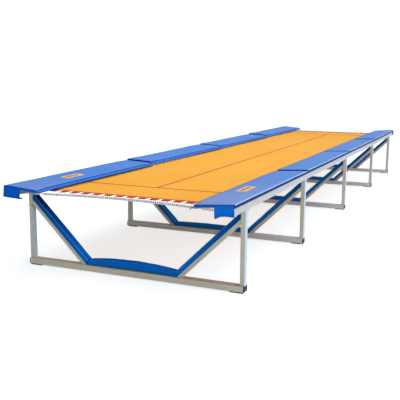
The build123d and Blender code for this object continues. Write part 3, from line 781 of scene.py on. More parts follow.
first = True
for ti, ty in enumerate(TRESTLES):
    for s, side in ((-1, "left"), (1, "right")):
        v = wrinkle(sv, sf, 0.0016, 11, 3.1 * ti + s, smask)
        v = wrinkle(v, sf, 0.0007, 46, 5.7 * ti + s, smask)
        fcs = sf
        if s < 0:
            v = mirror_x(v)
            fcs = [q[::-1] for q in sf]
        v[:, 1] += ty
        o = make(f"strut_cushion_{side}_{ti + 1}", v, fcs, [M_STRUTPAD, M_PADFRONT], body="frame", slot="blue_vinyl",
                 replaces=("strut_pads",) if first else ())
        for poly in o.data.polygons:
            if max(sk[q][1] for q in poly.vertices) == 0:
                poly.material_index = 1
        # painted highlight: a pale tube along the front top edge of the cushion
        line = Bag()
        row = [si[(q, 0, sn[2])] for q in range(1, sn[0])]
        line.add(*tube(np.array([v[q] for q in row]), 0.0040, 6))
        line.make(f"strut_cushion_edge_{side}_{ti + 1}", M_PADLINE_HIGHLIGHT, body="frame", slot="blue_vinyl")
        # seam piping round the top face, painted pale as a highlight
        seams = Bag()
        for loop in seam_loops(v, si, *sn, which=(sn[2],)):
            seams.add(*tube(loop, 0.0021, 5, closed=True))
        seams.make(f"strut_cushion_seam_{side}_{ti + 1}", M_SEAM_HIGHLIGHT, body="frame", slot="blue_vinyl")
        first = False
    fv, ff, fkeys, fi, fn, fmask = floor_near if ti == 0 else floor_rest
    v = wrinkle(fv, ff, 0.0022, 9, 8.3 * ti + 2, fmask)
    v = wrinkle(v, ff, 0.0009, 40, 4.9 * ti, fmask)
    v[:, 1] += ty
    o = make(f"floor_cushion_{ti + 1}", v, ff, [M_STRUTPAD, M_PADFRONT], body="frame", slot="blue_vinyl",
             replaces=("floor_pads",) if ti == 0 else ())
    for poly in o.data.polygons:
        if max(fkeys[q][1] for q in poly.vertices) == 0:
            poly.material_index = 1
    # seam piping round the top face, painted pale as a highlight
    seams = Bag()
    for loop in seam_loops(v, fi, *fn, which=(fn[2],)):
        seams.add(*tube(loop, 0.0020, 5, closed=True))
    seams.make(f"floor_cushion_seam_{ti + 1}", M_SEAM_HIGHLIGHT, body="frame", slot="blue_vinyl")

# tabs from the top end of each strut cushion to its post
tabs = Bag()
tlo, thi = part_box("pad_tabs")
for ty in TRESTLES:
    for s in (-1, 1):
        xa, xb = POST_IN - 0.026, POST_IN - 0.0006
        za = PAD_CUT + 0.0004
        rows = []
        for t in np.linspace(0, 1, 9):
            x = xa + (xb - xa) * t
            z = za + 0.004 * math.sin(t * math.pi)
            rows.append((x, z))
        vv, ffc = [], []
        for (x, z) in rows:
            for y, dz in ((-0.0125, 0.0), (0.0125, 0.0), (0.0125, 0.0022), (-0.0125, 0.0022)):
                vv.append((s * x, ty + y, z + dz))
        for i in range(len(rows) - 1):
            for k in range(4):
                a, b = i * 4 + k, i * 4 + (k + 1) % 4
                q = (a, b, b + 4, a + 4)
                ffc.append(q if s > 0 else q[::-1])
        ffc += [(0, 3, 2, 1), tuple(len(vv) - 4 + k for k in (0, 1, 2, 3))]
        tabs.add(vv, ffc)
        # folded end stitched to the cushion and riveted to the post
        zc = rows[-1][1]
        patch_v = []
        for x, y, z in ((xb, -0.0125, zc - 0.004), (xb, 0.0125, zc - 0.004), (xb, 0.0125, zc + 0.022), (xb, -0.0125, zc + 0.022)):
            patch_v.append((s * x, ty + y, z))
            patch_v.append((s * (x - 0.002), ty + y, z))
        tabs.add(patch_v, [(0, 2, 4, 6), (1, 7, 5, 3), (0, 1, 3, 2), (2, 3, 5, 4), (4, 5, 7, 6), (6, 7, 1, 0)])
tabs.make("cushion_tabs", M_TAB, body="frame", slot="pale_webbing", replaces=("pad_tabs",))

# --------------------------------------------------------------------------
# side cushions
# --------------------------------------------------------------------------
plo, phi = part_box("pad_right_2")
P_IN, P_OUT = plo.x, phi.x
P_W = P_OUT - P_IN
RAIL_TOP = rail_hi.z
RAIL_IN = rail_lo.x
P_T = 0.040


def pad_bottom(x):
    k = RAIL_IN - 0.004
    if x >= k:
        return RAIL_TOP + 0.0006
    return RAIL_TOP + 0.0006 - (k - x) / (k - P_IN) * (RAIL_TOP + 0.0005 - plo.z)


def pad_top(x):
    return 0.909 + (x - 0.870) / (P_OUT - 0.870) * (phi.z - 0.909) - 0.001


def build_side_pad():
    L = 2.494
    W = P_W - 0.004
    xs = ticks(W, 0.010, 0.013)
    ys = ticks(L, 0.010, 0.016)
    zs = ticks(P_T, 0.010, 0.007)
    v, f, keys, index = box_surface(xs, ys, zs, 0.010)
    pins = [i for i, k in enumerate(keys) if k[2] == 0]
    v = inflate(v, f, pins, 0.0045, 4.0)
    return v, f, keys, index, (len(xs) - 1, len(ys) - 1, len(zs) - 1), L, W


pv, pf, pk, pi_, pn, P_L, P_WI = build_side_pad()

for side, s in (("left", -1), ("right", 1)):
    for k in range(4):
        lo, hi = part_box(f"pad_{side}_{k + 1}")
        y0, y1 = lo.y + (0.001 if k == 0 else 0.006), hi.y - (0.001 if k == 3 else 0.006)
        seed = 11.7 * k + (40 if s > 0 else 0)
        # the cushions do not line up exactly with their neighbours
        shift = (0.0, 0.006, 0.002, 0.004)[k]
        stagger = (0.0, 0.026, 0.024, 0.020)[k] if s < 0 else 0.0
        step = 1.0 if s < 0 else 0.6
        v = np.zeros_like(pv)
        for i, (X, Y, Z) in enumerate(pv):
            t = Y / P_L
            y = y0 + (y1 - y0) * t
            w = Z / P_T
            x = P_IN + 0.002 + X + (0.010 * w + shift + stagger * (1 - t)) * max(0.0, 1 - X / 0.16)
            zb, zt = pad_bottom(x), pad_top(x)
            z = zb + (zt - zb) * w
            # the free ends of the row droop, most at the inner corner
            end = 0.0
            if k == 0:
                end = max(0.0, 1 - (y - y0) / 0.32)
            if k == 3:
                end = max(end, 1 - (y1 - y) / 0.32) if y1 - y < 0.32 else end
            inner = max(0.0, min(1.0, (RAIL_IN + 0.02 - x) / (RAIL_IN + 0.02 - P_IN)))
            z -= 0.011 * end * end * inner * w**0.5
            # long easy waves in the cover, and a dip next to each joint
            up = max(0.0, w - 0.35) / 0.65
            z += up * 0.0035 * wobble((x * 0.4, y, 0), 2.1, seed)
            join = min(y - y0, y1 - y)
            z -= up * 0.0035 * math.exp(-((join / 0.05) ** 2))
            # one cushion sits a little prouder than the next
            z += up * (0.0, 0.0025, 0.0, 0.002)[k]
            if k > 0:
                z += up * step * 0.008 * math.exp(-(((y - y0) / 0.30) ** 2))
            if k < 3:
                z -= up * step * 0.005 * math.exp(-(((y1 - y) / 0.30) ** 2))
            # pucker next to the sewn edges
            edge = min(X, P_WI - X)
            z += up * 0.0011 * math.exp(-edge / 0.02) * math.sin(y * 2 * math.pi / 0.043 + 3 * wobble((x, y, 0), 5, seed))
            v[i] = (s * x, y, z)
        fcs = pf if s > 0 else [q[::-1] for q in pf]
        body = f"cushion_{side}_{k + 1}"
        o = make(f"side_cushion_{side}_{k + 1}", v, fcs, [M_TOP, M_END, M_UNDERSIDE_AND_SHADE, M_PIPING, M_INNER], body=body, slot="blue_vinyl",
                 replaces=(f"pad_{side}_{k + 1}",))
        # side and end panels take the second vinyl
        top_k = pn[2]
        for poly in o.data.polygons:
            ks = [pk[q][2] for q in poly.vertices]
            js = [pk[q][1] for q in poly.vertices]
            us = [pk[q][0] for q in poly.vertices]
            poly.material_index = 0 if min(ks) >= top_k - 1 else 1
            low = max(ks) <= int(top_k * 0.7)
            joint = (max(js) == 0 and k > 0) or (min(js) == pn[1] and k < 3)
            if max(us) == 0:
                poly.material_index = 3 if min(ks) >= int(top_k * 0.80) else 4
            # painted shade: the joint ends and the lower outer side get the dark underside vinyl
            if max(ks) == 0 or joint or (min(us) == pn[0] and low):
                poly.material_index = 2
        # sewn edge: dark seam along the bed and at the ends; outside, a pale tube as a painted highlight
        nx_, ny_, nz_ = pn
        inner_run = (
            [(i, 0, nz_) for i in range(nx_, 0, -1)] + [(0, j, nz_) for j in range(ny_)] + [(i, ny_, nz_) for i in range(nx_ + 1)]
        )
        seams = Bag()
        seams.add(*tube(np.array([v[pi_[q]] for q in inner_run]), 0.0042, 8))
        seams.make(f"side_cushion_seam_{side}_{k + 1}", M_PIPING, body=body, slot="blue_vinyl")
        seams = Bag()
        # painted shadow: a dark tube along the foot of the inner side, where the cushion meets the bed
        base = [(0, j, 0) for j in range(ny_ + 1)]
        seams.add(*tube(np.array([v[pi_[q]] for q in base]), 0.0036, 6))
        seams.make(f"side_cushion_base_seam_{side}_{k + 1}", M_UNDERSIDE_AND_SHADE, body=body, slot="blue_vinyl")
        # painted highlight: a pale tube along the outer top edge
        edge_run = [(nx_, j, nz_) for j in range(ny_ + 1)]
        seams = Bag()
        seams.add(*tube(np.array([v[pi_[q]] for q in edge_run]), 0.0034, 8))
        seams.make(f"side_cushion_piping_{side}_{k + 1}", M_EDGE_HIGHLIGHT, body=body, slot="blue_vinyl")

# flaps hanging over the rail ends
for side, s in (("left", -1), ("right", 1)):
    for e, where, k in ((-1, "near", 1), (1, "far", 4)):
        lo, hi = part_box(f"end_flap_{side}_{where}")
        nx, nz = 26, 16
        xin = min(abs(lo.x), abs(hi.x)) + 0.004
        xout = max(abs(lo.x), abs(hi.x)) - 0.004
        face = min(abs(lo.y), abs(hi.y))
        seed = (3 if s > 0 else 8) + (1 if e > 0 else 0)
        front, back = [], []
        for i in range(nx + 1):
            u = i / nx
            for j in range(nz + 1):
                w = j / nz
                xt = xin + (xout - 0.006 - xin) * u
                xb = xin + 0.004 + (xout + 0.002 - xin - 0.004) * u
                zt = pad_top(min(xt, P_OUT - 0.003)) - 0.006
                if s > 0:
                    zb = 0.815 - 0.028 * math.exp(-(((u - 0.05) / 0.19) ** 2)) + 0.0025 * wobble((u, 0, 0), 4, seed)
                else:
                    zb = 0.797 + 0.009 * u + 0.003 * wobble((u, 0, 0), 4, seed)
                x = xt + (xb - xt) * w
                z = zt + (zb - zt) * w
                y = face + 0.0012 + 0.006 * w**1.5 + 0.0035 * w * wobble((u * 1.3, w, 0), 3, seed) + 0.002 * w * math.sin(u * 9 + seed)
                y = max(y, face + 0.0008)
                front.append((s * x, e * (y + 0.0032), z))
                back.append((s * x, e * y, z))
        n1 = nz + 1
        v = front + back
        off = len(front)
        fcs = grid_faces(nx + 1, n1) + [tuple(q + off for q in face_)[::-1] for face_ in grid_faces(nx + 1, n1)]
        rim = [i * n1 for i in range(nx + 1)] + [nx * n1 + j for j in range(1, n1)] + [i * n1 + nz for i in range(nx - 1, -1, -1)] + [j for j in range(nz - 1, 0, -1)]
        for a, b in zip(rim, rim[1:] + rim[:1]):
            fcs.append((b, a, a + off, b + off))
        if s * e > 0:
            fcs = [q[::-1] for q in fcs]
        body = f"cushion_{side}_{k}"
        # painted shade: the left flaps take a darker copy of the flap vinyl
        make(f"flap_{side}_{where}", v, fcs, M_SIDE if s > 0 else M_FLAP_L_SHADE, body=body, slot="blue_vinyl",
             replaces=(f"end_flap_{side}_{where}",))
        hem = Bag()
        ring = [front[q] for q in rim]
        hem.add(*tube(np.array(ring), 0.0017, 5, closed=True))
        # turned hem: a stitch line 14 mm above the lower edge
        line = [np.array(front[i * n1 + nz - 2]) * (1, 1, 1) + (0, e * 0.0006, 0) for i in range(1, nx)]
        hem.add(*tube(np.array(line), 0.0009, 5))
        hem.make(f"flap_hem_{side}_{where}", M_PIPING, body=body, slot="blue_vinyl")

# plain patches on the end cushions: a rounded plate with two blank bands
for side, s in (("left", -1), ("right", 1)):
    for e, where, k in ((-1, "near", 1), (1, "far", 4)):
        lo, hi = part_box(f"patch_{side}_{where}")
        cx, cy = (lo.x + hi.x) / 2, (lo.y + hi.y) / 2
        hw, hl = (hi.x - lo.x) / 2, (hi.y - lo.y) / 2
        body = f"cushion_{side}_{k}"

        def plate(x0, x1, ya, yb, lift, r, n=5):
            ring = []
            for ccx, ccy, a0 in ((x1 - r, yb - r, 0), (x0 + r, yb - r, 90), (x0 + r, ya + r, 180), (x1 - r, ya + r, 270)):
                for t in range(n + 1):
                    a = math.radians(a0 + 90 * t / n)
                    ring.append((ccx + r * math.cos(a), ccy + r * math.sin(a)))
            vv = []
            for sc, dz in ((1.0, 0.0), (1.0, lift * 0.7), (0.985, lift), (0.6, lift), (0.2, lift)):
                for x, y in ring:
                    px = (x0 + x1) / 2 + (x - (x0 + x1) / 2) * sc
                    py = (ya + yb) / 2 + (y - (ya + yb) / 2) * sc
                    vv.append((cx + px, cy + py, pad_top(abs(cx + px)) + 0.0042 + dz))
            m = len(ring)
            ff_ = []
            for row in range(4):
                for q in range(m):
                    q2 = (q + 1) % m
                    ff_.append((row * m + q, row * m + q2, (row + 1) * m + q2, (row + 1) * m + q))
            ff_.append(tuple(4 * m + q for q in range(m)))
            return vv, ff_

        b = Bag()
        b.add(*plate(-hw, hw, -hl, hl, 0.0012, 0.008))
        b.make(f"plain_patch_{side}_{where}", M_PATCH, body=body, slot="patch", replaces=(f"patch_{side}_{where}",))
        b = Bag()
        b.add(*plate(-hw * 0.46, hw * 0.30, -hl * 0.70, hl * 0.02, 0.0018, 0.004))
        b.add(*plate(-hw * 0.30, hw * 0.46, hl * 0.10, hl * 0.66, 0.0018, 0.004))
        b.make(f"plain_patch_bands_{side}_{where}", M_BAND, body=body, slot="patch")

# --------------------------------------------------------------------------
# bed
# --------------------------------------------------------------------------
blo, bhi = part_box("bed_mat")
BW, BL = bhi.x, bhi.y
BZ0, BZ1 = blo.z, bhi.z
BZ = (BZ0 + BZ1) / 2
slo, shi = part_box("side_springs_right")
elo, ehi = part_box("end_bands")
rings_lo, rings_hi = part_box("hem_rings")

N_SPRING = 38
P_SPRING = 0.125
SPRING_Y = sorted(q * (P_SPRING / 2 + P_SPRING * i) for q in (-1, 1) for i in range(N_SPRING))


def scallop(y):
    """The hem is drawn out slightly at each spring."""
    return 0.0022 * math.cos(2 * math.pi * (y - P_SPRING / 2) / P_SPRING)


def build_bed():
    nx, ny = 46, 460
    xs = np.linspace(-1, 1, nx + 1)
    ys = np.linspace(-BL, BL, ny + 1)
    v = []
    for layer, z0 in ((0, BZ1), (1, BZ0)):
        for x in xs:
            for y in ys:
                px = x * (BW - 0.0035 + (scallop(y) if abs(x) > 0.9 else 0) * abs(x))
                sag = -0.0035 * (1 - x * x) * (1 - (y / BL) ** 6)
                v.append((px, y, z0 + sag + 0.0006 * wobble((px, y, 0), 3, 5)))
    top = grid_faces(nx + 1, ny + 1)
    off = (nx + 1) * (ny + 1)
    bot = [tuple(q + off for q in f_)[::-1] for f_ in top]
    n1 = ny + 1
    rim = [i * n1 for i in range(nx + 1)] + [nx * n1 + j for j in range(1, n1)] + [i * n1 + ny for i in range(nx - 1, -1, -1)] + [j for j in range(ny - 1, 0, -1)]
    f = top + bot
    for a, b in zip(rim, rim[1:] + rim[:1]):
        f.append((b, a, a + off, b + off))
    return v, f


v, f = build_bed()
make("bed_cloth", v, f, M_WEAVE, body="bed", slot="bed_weave", replaces=("bed_mat",), smooth=False)


def bed_z(x, y):
    u = x / BW
    return BZ1 - 0.0035 * (1 - u * u) * (1 - (y / BL) ** 6) + 0.0006 * wobble((x, y, 0), 3, 5)


def strip(path, width, thick, lift=0.0, across=(1, 0, 0)):
    """A flat tape lying on the bed along a path of (x, y)."""
    ax = np.array(across, float)
    vv, ff_ = [], []
    for (x, y) in path:
        for q, dz in ((-0.5, 0.0), (-0.46, thick), (0.46, thick), (0.5, 0.0)):
            px, py = x + ax[0] * width * q, y + ax[1] * width * q
            vv.append((px, py, bed_z(px, py) + lift + dz))
    for i in range(len(path) - 1):
        for k in range(3):
            a = i * 4 + k
            ff_.append((a, a + 1, a + 5, a + 4))
    return vv, ff_


def thread(bag, path, r=0.0009, lift=0.0016, on=0.006, off=0.0035):
    """A row of stitches along a path of (x, y), as short raised threads."""
    p = np.asarray(path, float)
    seg = np.linalg.norm(np.diff(p, axis=0), axis=1)
    cum = np.concatenate([[0], np.cumsum(seg)])
    d = 0.0
    while d + on < cum[-1]:
        pts = []
        for t in (0, 0.5, 1):
            q = d + on * t
            x = np.interp(q, cum, p[:, 0])
            y = np.interp(q, cum, p[:, 1])
            pts.append((x, y, bed_z(x, y) + lift + r * (0.9 if t == 0.5 else 0.1)))
        bag.add(*tube(pts, r, 4))
        d += on + off


# red line tapes
TAPE = 0.030
CROSS = 4.065
tape = Bag()
ys = np.linspace(-(CROSS - TAPE / 2), CROSS - TAPE / 2, 300)
vv, ff_ = strip([(0.0008 * wobble((0, y, 0), 1.3, 3), y) for y in ys], TAPE, 0.0014)
tape.add(vv, [q[::-1] for q in ff_])
for e in (-1, 1):
    xs = np.linspace(-(BW - 0.05), BW - 0.05, 80)
    tape.add(*strip([(x, e * CROSS + 0.0008 * wobble((x, e, 0), 1.3, 3)) for x in xs], TAPE, 0.0014, across=(0, 1, 0)))
tape.make("line_tape", M_TAPE, body="bed", slot="red_webbing", replaces=("line_tapes",))

# side hems
hem = Bag()
for s in (-1, 1):
    ys = np.linspace(-4.654, 4.654, 500)
    vv, ff_ = [], []
    for y in ys:
        w = scallop(y)
        for q, dz in ((BW - 0.050, 0.0), (BW - 0.049, 0.0026), (BW - 0.003 + w, 0.0028), (BW - 0.0005 + w, -0.001), (BW - 0.003 + w, -0.006)):
            vv.append((s * q, y, bed_z(BW - 0.02, y) + dz))
    for i in range(len(ys) - 1):
        for k in range(4):
            a = i * 5 + k
            q = (a, a + 5, a + 6, a + 1)
            ff_.append(q[::-1] if s > 0 else q)
    hem.add(vv, [q if s > 0 else q for q in ff_])
hem.make("side_hem", M_HEM, body="bed", slot="hem_webbing", replaces=("side_hems",))

# end bands, folded round the bed's ends
IN_Y, OUT_Y = 4.655, ehi.y
band = Bag()
for e in (-1, 1):
    xs = np.linspace(-BW + 0.001, BW - 0.001, 240)
    prof = [(IN_Y, 0.0), (IN_Y + 0.001, 0.0028)]
    prof += [(IN_Y + (OUT_Y - 0.008 - IN_Y) * t, 0.0030 + 0.0008 * math.sin(t * math.pi)) for t in np.linspace(0.1, 1, 6)]
    for a in np.linspace(80, -80, 7):
        prof.append((OUT_Y - 0.006 + 0.006 * math.cos(math.radians(a)), -0.0025 + 0.0056 * math.sin(math.radians(a))))
    prof += [(IN_Y + (OUT_Y - 0.008 - IN_Y) * t, -0.0080) for t in np.linspace(1, 0.0, 4)]
    m = len(prof)
    vv, ff_ = [], []
    for x in xs:
        pull = 0.0022 * math.cos(2 * math.pi * x / 0.131)
        for (y, dz) in prof:
            yy = y + pull * max(0.0, (y - IN_Y) / (OUT_Y - IN_Y))
            vv.append((x, e * yy, bed_z(x, e * 4.7) + dz))
    for i in range(len(xs) - 1):
        for k in range(m - 1):
            a = i * m + k
            q = (a, a + m, a + m + 1, a + 1)
            ff_.append(q if e > 0 else q[::-1])
    band.add(vv, ff_)
band.make("end_band", M_RED_X, body="bed", slot="red_webbing", replaces=("end_bands",))

# stitch rows on bands and tapes
st = Bag()
for e in (-1, 1):
    for y in (IN_Y + 0.008, IN_Y + 0.018):
        thread(st, [(x, e * y) for x in np.linspace(-BW + 0.01, BW - 0.01, 60)], 0.0009, 0.0034, 0.008, 0.005)
    for y in (CROSS - 0.011, CROSS + 0.011):
        thread(st, [(x, e * y) for x in np.linspace(-BW + 0.055, BW - 0.055, 60)], 0.0008, 0.0014, 0.010, 0.007)
st.make("bed_stitching", M_TAPE, body="bed", slot="red_webbing")

# --------------------------------------------------------------------------
# rings, springs
# --------------------------------------------------------------------------
rings = Bag()
webs = Bag()
for s in (-1, 1):
    for y in SPRING_Y:
        # D ring: straight bar inside the webbing, round bow outside
        pts = []
        for a in np.linspace(-90, 90, 11):
            pts.append((BW + 0.001 + 0.0150 * math.cos(math.radians(a)), 0.0150 * math.sin(math.radians(a))))
        for t in np.linspace(0.0145, -0.0145, 6)[1:-1]:
            pts.append((BW - 0.006, t))
        loop = np.array([(s * x, y + q, BZ) for x, q in pts])
        rings.add(*tube(loop, 0.0024, 6, closed=True))
        # webbing loop round the bar, sewn on the hem
        prof = [(BW - 0.046, BZ1 + 0.0034), (BW - 0.02, BZ1 + 0.0036), (BW - 0.002, BZ1 + 0.0028)]
        for a in np.linspace(70, -70, 5):
            prof.append((BW + 0.0005 + 0.0045 * math.cos(math.radians(a)), BZ + 0.0046 * math.sin(math.radians(a))))
        prof += [(BW - 0.002, BZ0 - 0.0016), (BW - 0.02, BZ0 - 0.002), (BW - 0.046, BZ0 - 0.0018)]
        vv, ff_ = [], []
        for x, z in prof:
            for q in (-0.012, -0.004, 0.004, 0.012):
                vv.append((s * x, y + q, z))
        for i in range(len(prof) - 1):
            for k in range(3):
                a = i * 4 + k
                q = (a, a + 1, a + 5, a + 4)
                ff_.append(q if s < 0 else q[::-1])
        webs.add(vv, ff_)
rings.make("hem_ring", M_ZINC, body="bed", slot="spring_steel", replaces=("hem_rings",))
webs.make("ring_webbing", M_HEM, body="bed", slot="hem_webbing")


def spring_path(length, coil_r, turns, neck, hook_r, per=10):
    """Centre line of a coil with a hook at each end, lying along +X from 0."""
    pts = []
    # hook at the start: opens downwards round a ring
    for a in np.linspace(200, -10, 10):
        pts.append((hook_r + hook_r * math.cos(math.radians(a)), 0.0, hook_r * math.sin(math.radians(a)) * 0.9))
    x0 = neck
    x1 = length - neck
    pts.append((x0 - 0.006, 0.0, 0.0005))
    n = turns * per
    for i in range(n + 1):
        a = 2 * math.pi * i / per
        ramp = min(1.0, i / per, (n - i) / per)
        r = coil_r * (0.15 + 0.85 * ramp)
        pts.append((x0 + (x1 - x0) * i / n, r * math.sin(a), r * math.cos(a)))
    pts.append((x1 + 0.006, 0.0, 0.0005))
    for a in np.linspace(190, 20, 8):
        pts.append((length - hook_r + hook_r * math.cos(math.radians(a)), 0.0, hook_r * math.sin(math.radians(a)) * 0.9))
    return np.array(pts)


S_IN = BW + 0.0095
S_OUT = RAIL_IN + 0.0065
one_v, one_f = tube(spring_path(S_OUT - S_IN, 0.0108, 26, 0.030, 0.0052), 0.0019, 5)
for side, s in (("left", -1), ("right", 1)):
    bag = Bag()
    for i, y in enumerate(SPRING_Y):
        vv = one_v.copy()
        # each coil sits at its own turn angle
        a = 0.35 * math.sin(i * 2.399)
        yy = vv[:, 1] * math.cos(a) - vv[:, 2] * math.sin(a)
        zz = vv[:, 1] * math.sin(a) + vv[:, 2] * math.cos(a)
        vv = np.stack([s * (S_IN + vv[:, 0]), y + yy, BZ + zz], 1)
        bag.add(vv, one_f if s > 0 else [q[::-1] for q in one_f])
    o = bag.make(f"springs_{side}", M_WIRE, slot="spring_steel", replaces=(f"side_springs_{side}",))
    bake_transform(o)

# ropes and lacing at both ends
rlo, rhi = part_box("end_ropes")
ROPE0 = 4.835
BOW = 0.097 / 0.862**2
ROPE_X = 0.862


def rope_y(x):
    return ROPE0 + BOW * x * x


RZ = BZ
rope = Bag()
core = Bag()
for e in (-1, 1):
    xs = np.linspace(-ROPE_X, ROPE_X, 700)
    for k in range(3):
        pts = []
        for x in xs:
            a = 2 * math.pi * (x / 0.066) + k * 2 * math.pi / 3
            slope = 2 * BOW * x
            nrm = np.array([-slope, 1.0]) / math.hypot(1, slope)
            dy = 0.0046 * math.cos(a)
            pts.append((x + nrm[0] * dy, e * (rope_y(x) + nrm[1] * dy), RZ + 0.0046 * math.sin(a)))
        rope.add(*tube(np.array(pts), 0.0040, 7))
    # a core inside the strands, painted dark as the shade between them
    core.add(*tube(np.array([(x, e * rope_y(x), RZ) for x in xs[::6]]), 0.0052, 8))
    # whipped eye at each end
    for s in (-1, 1):
        x0 = ROPE_X - 0.002
        wh = []
        for i in range(9 * 12 + 1):
            a = 2 * math.pi * i / 12
            x = x0 - 0.052 + 0.044 * i / (9 * 12)
            wh.append((s * x, e * (rope_y(x) + 0.0102 * math.cos(a)), RZ + 0.0102 * math.sin(a)))
        rope.add(*tube(np.array(wh), 0.0022, 5))
        eye = []
        for a in np.linspace(-150, 150, 16):
            cx = x0 + 0.006
            eye.append((s * (cx + 0.013 * math.cos(math.radians(a))), e * (rope_y(x0) + 0.011 * math.sin(math.radians(a))), RZ))
        rope.add(*tube(np.array(eye), 0.0046, 6))
rope.make("end_rope", M_ROPE, body="bed", slot="cord", replaces=("end_ropes",))
core.make("end_rope_core", M_CORE_SHADE, body="bed", slot="cord")

# lacing: a cord that runs from eyelets in the band, round the rope and back
lace = Bag()
eyelets = Bag()
PITCH = 0.131
N_EYE = 6
WRAPS = 6
for e in (-1, 1):
    bz = bed_z(0.4, e * 4.7)
    path = []
    for i in range(-N_EYE, N_EYE + 1):
        xc = i * PITCH
        for jj in range(WRAPS):
            j = jj - (WRAPS - 1) / 2
            xe = xc + 0.0050 * j
            xo = xc + 0.0110 * j
            xr = xc + PITCH / WRAPS * j
            ye = 4.724 + 0.0020 * abs(j) + 0.0010 * math.sin(i * 2.1 + j)
            ry = rope_y(xr)
            # the middle turns lie over the edge of the band, the others come
            # from under it; all go round the rope and back below
            if abs(j) < 1:
                path += [
                    (xe, e * ye, bz - 0.013),
                    (xe, e * (ye + 0.003), bz + 0.002),
                    (xe, e * (ye + 0.007), bz + 0.0066),
                    (xo, e * (OUT_Y - 0.004), bz + 0.0065),
                ]
            else:
                path += [
                    (xe, e * (ye - 0.002), bz - 0.0125),
                    (xo, e * (OUT_Y - 0.004), bz - 0.0135),
                ]
            path += [
                (xr - 0.003, e * (ry - 0.017), RZ + 0.0095),
                (xr - 0.002, e * (ry + 0.001), RZ + 0.0120),
                (xr, e * (ry + 0.0118), RZ + 0.001),
                (xr + 0.002, e * (ry + 0.001), RZ - 0.0120),
                (xr + 0.003, e * (ry - 0.017), RZ - 0.0095),
                (xo + 0.004, e * (OUT_Y + 0.003), bz - 0.014),
            ]
        # a slotted eyelet for each fan of cord
        ring = [
            (xc + 0.0170 * math.cos(a), e * 4.724 + 0.0056 * math.sin(a), bz + 0.0042)
            for a in np.linspace(0, 2 * math.pi, 18, endpoint=False)
        ]
        eyelets.add(*tube(np.array(ring), 0.0014, 5, closed=True))
    p = smooth_path(path, 0.008)
    lace.add(*tube(p, 0.0047, 7))
lace.make("end_lace", M_LACE, body="bed", slot="cord", replaces=("end_lacing",))
eyelets.make("band_eyelets", M_ZINC, body="bed", slot="spring_steel")

# end springs
ex0, ey0 = ROPE_X + 0.008, rope_y(ROPE_X)
ex1, ey1 = RAIL_IN + 0.0065, 4.972
el = math.hypot(ex1 - ex0, ey1 - ey0)
ea = math.atan2(ey1 - ey0, ex1 - ex0)
two_v, two_f = tube(spring_path(el, 0.0104, 15, 0.034, 0.0058), 0.0030, 8)
for side, s in (("left", -1), ("right", 1)):
    bag = Bag()
    for e in (-1, 1):
        x = ex0 + two_v[:, 0] * math.cos(ea) - two_v[:, 1] * math.sin(ea)
        y = ey0 + two_v[:, 0] * math.sin(ea) + two_v[:, 1] * math.cos(ea)
        vv = np.stack([s * x, e * y, BZ + two_v[:, 2]], 1)
        bag.add(vv, two_f if s * e > 0 else [q[::-1] for q in two_f])
    o = bag.make(f"rope_springs_{side}", M_WIRE, slot="spring_steel", replaces=("end_springs",))
    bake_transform(o)

# short strap tails: a curl at each left flap's inner corner, a tie at each
# right cushion's free inner corner
for where, e, k in (("near", -1, 1), ("far", 1, 4)):
    flo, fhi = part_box(f"end_flap_left_{where}")
    xi, zi = fhi.x - 0.006, flo.z + 0.018
    yf = min(abs(flo.y), abs(fhi.y)) + 0.006
    curl = [(xi, zi), (xi + 0.004, zi - 0.009), (xi + 0.013, zi - 0.013), (xi + 0.026, zi - 0.013), (xi + 0.036, zi - 0.009)]
    pts = smooth_path([(x, e * (yf + 0.002 * q), z) for q, (x, z) in enumerate(curl)], 0.003)
    make(f"strap_tail_left_{where}", *tube(pts, 0.0072, 8, flat=0.8, up=(0, 1, 0)), M_CURL, body=f"cushion_left_{k}", slot="blue_vinyl")
    yp = max(abs(v_) for v_ in (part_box(f"pad_right_{k}")[0].y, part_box(f"pad_right_{k}")[1].y)) - 0.010
    tie = [(P_IN + 0.012, 0.868), (P_IN - 0.004, 0.866), (P_IN - 0.018, 0.860), (P_IN - 0.028, 0.850), (P_IN - 0.031, 0.842)]
    pts = smooth_path([(x, e * (yp - 0.002 * q), z) for q, (x, z) in enumerate(tie)], 0.003)
    make(f"strap_tail_right_{where}", *tube(pts, 0.0042, 8, flat=0.5, up=(0, 1, 0)), M_TIE, body=f"cushion_right_{k}", slot="blue_vinyl")

# --------------------------------------------------------------------------
# floor, light, camera
# --------------------------------------------------------------------------
def floor_mat():
    """A pale studio floor that keeps shadows faint when seen directly."""
    m = Mat("floor_pale", 0.95, 0.0, 0.0)
    seen = m.n.new("ShaderNodeLightPath").outputs["Is Camera Ray"]
    n = m.remap(m.noise(0.6, 2), 0.3, 0.7, 0, 1)
    m.color(m.mix(seen, m.mix(n, (0.78, 0.79, 0.80), (0.80, 0.80, 0.81)), m.mix(n, (0.482, 0.520, 0.532), (0.492, 0.528, 0.540))))
    m.l.new(m.mix(n, (0.690, 0.690, 0.690), (0.700, 0.700, 0.700)), m.p.inputs["Emission Color"])
    m.l.new(seen, m.p.inputs["Emission Strength"])
    return m.m


R = 60.0
fl = make("floor", [(-R, -R, 0), (R, -R, 0), (R, R, 0), (-R, R, 0)], [(0, 1, 2, 3)], floor_mat(), smooth=False)

world = bpy.data.worlds.new("studio")
scene.world = world
world.use_nodes = True
wn, wl = world.node_tree.nodes, world.node_tree.links
bg = wn["Background"]


def wmath(op, a, b):
    n = wn.new("ShaderNodeMath")
    n.operation = op
    for i, q in enumerate((a, b)):
        if isinstance(q, (int, float)):
            n.inputs[i].default_value = q
        else:
            wl.new(q, n.inputs[i])
    return n.outputs[0]


def wmix(fac, a, b):
    n = wn.new("ShaderNodeMix")
    n.data_type = "RGBA"
    n.clamp_result = False
    wl.new(fac, n.inputs[0])
    for sock, q in ((n.inputs[6], a), (n.inputs[7], b)):
        if isinstance(q, tuple):
            sock.default_value = (*q, 1)
        else:
            wl.new(q, sock)
    return n.outputs[2]


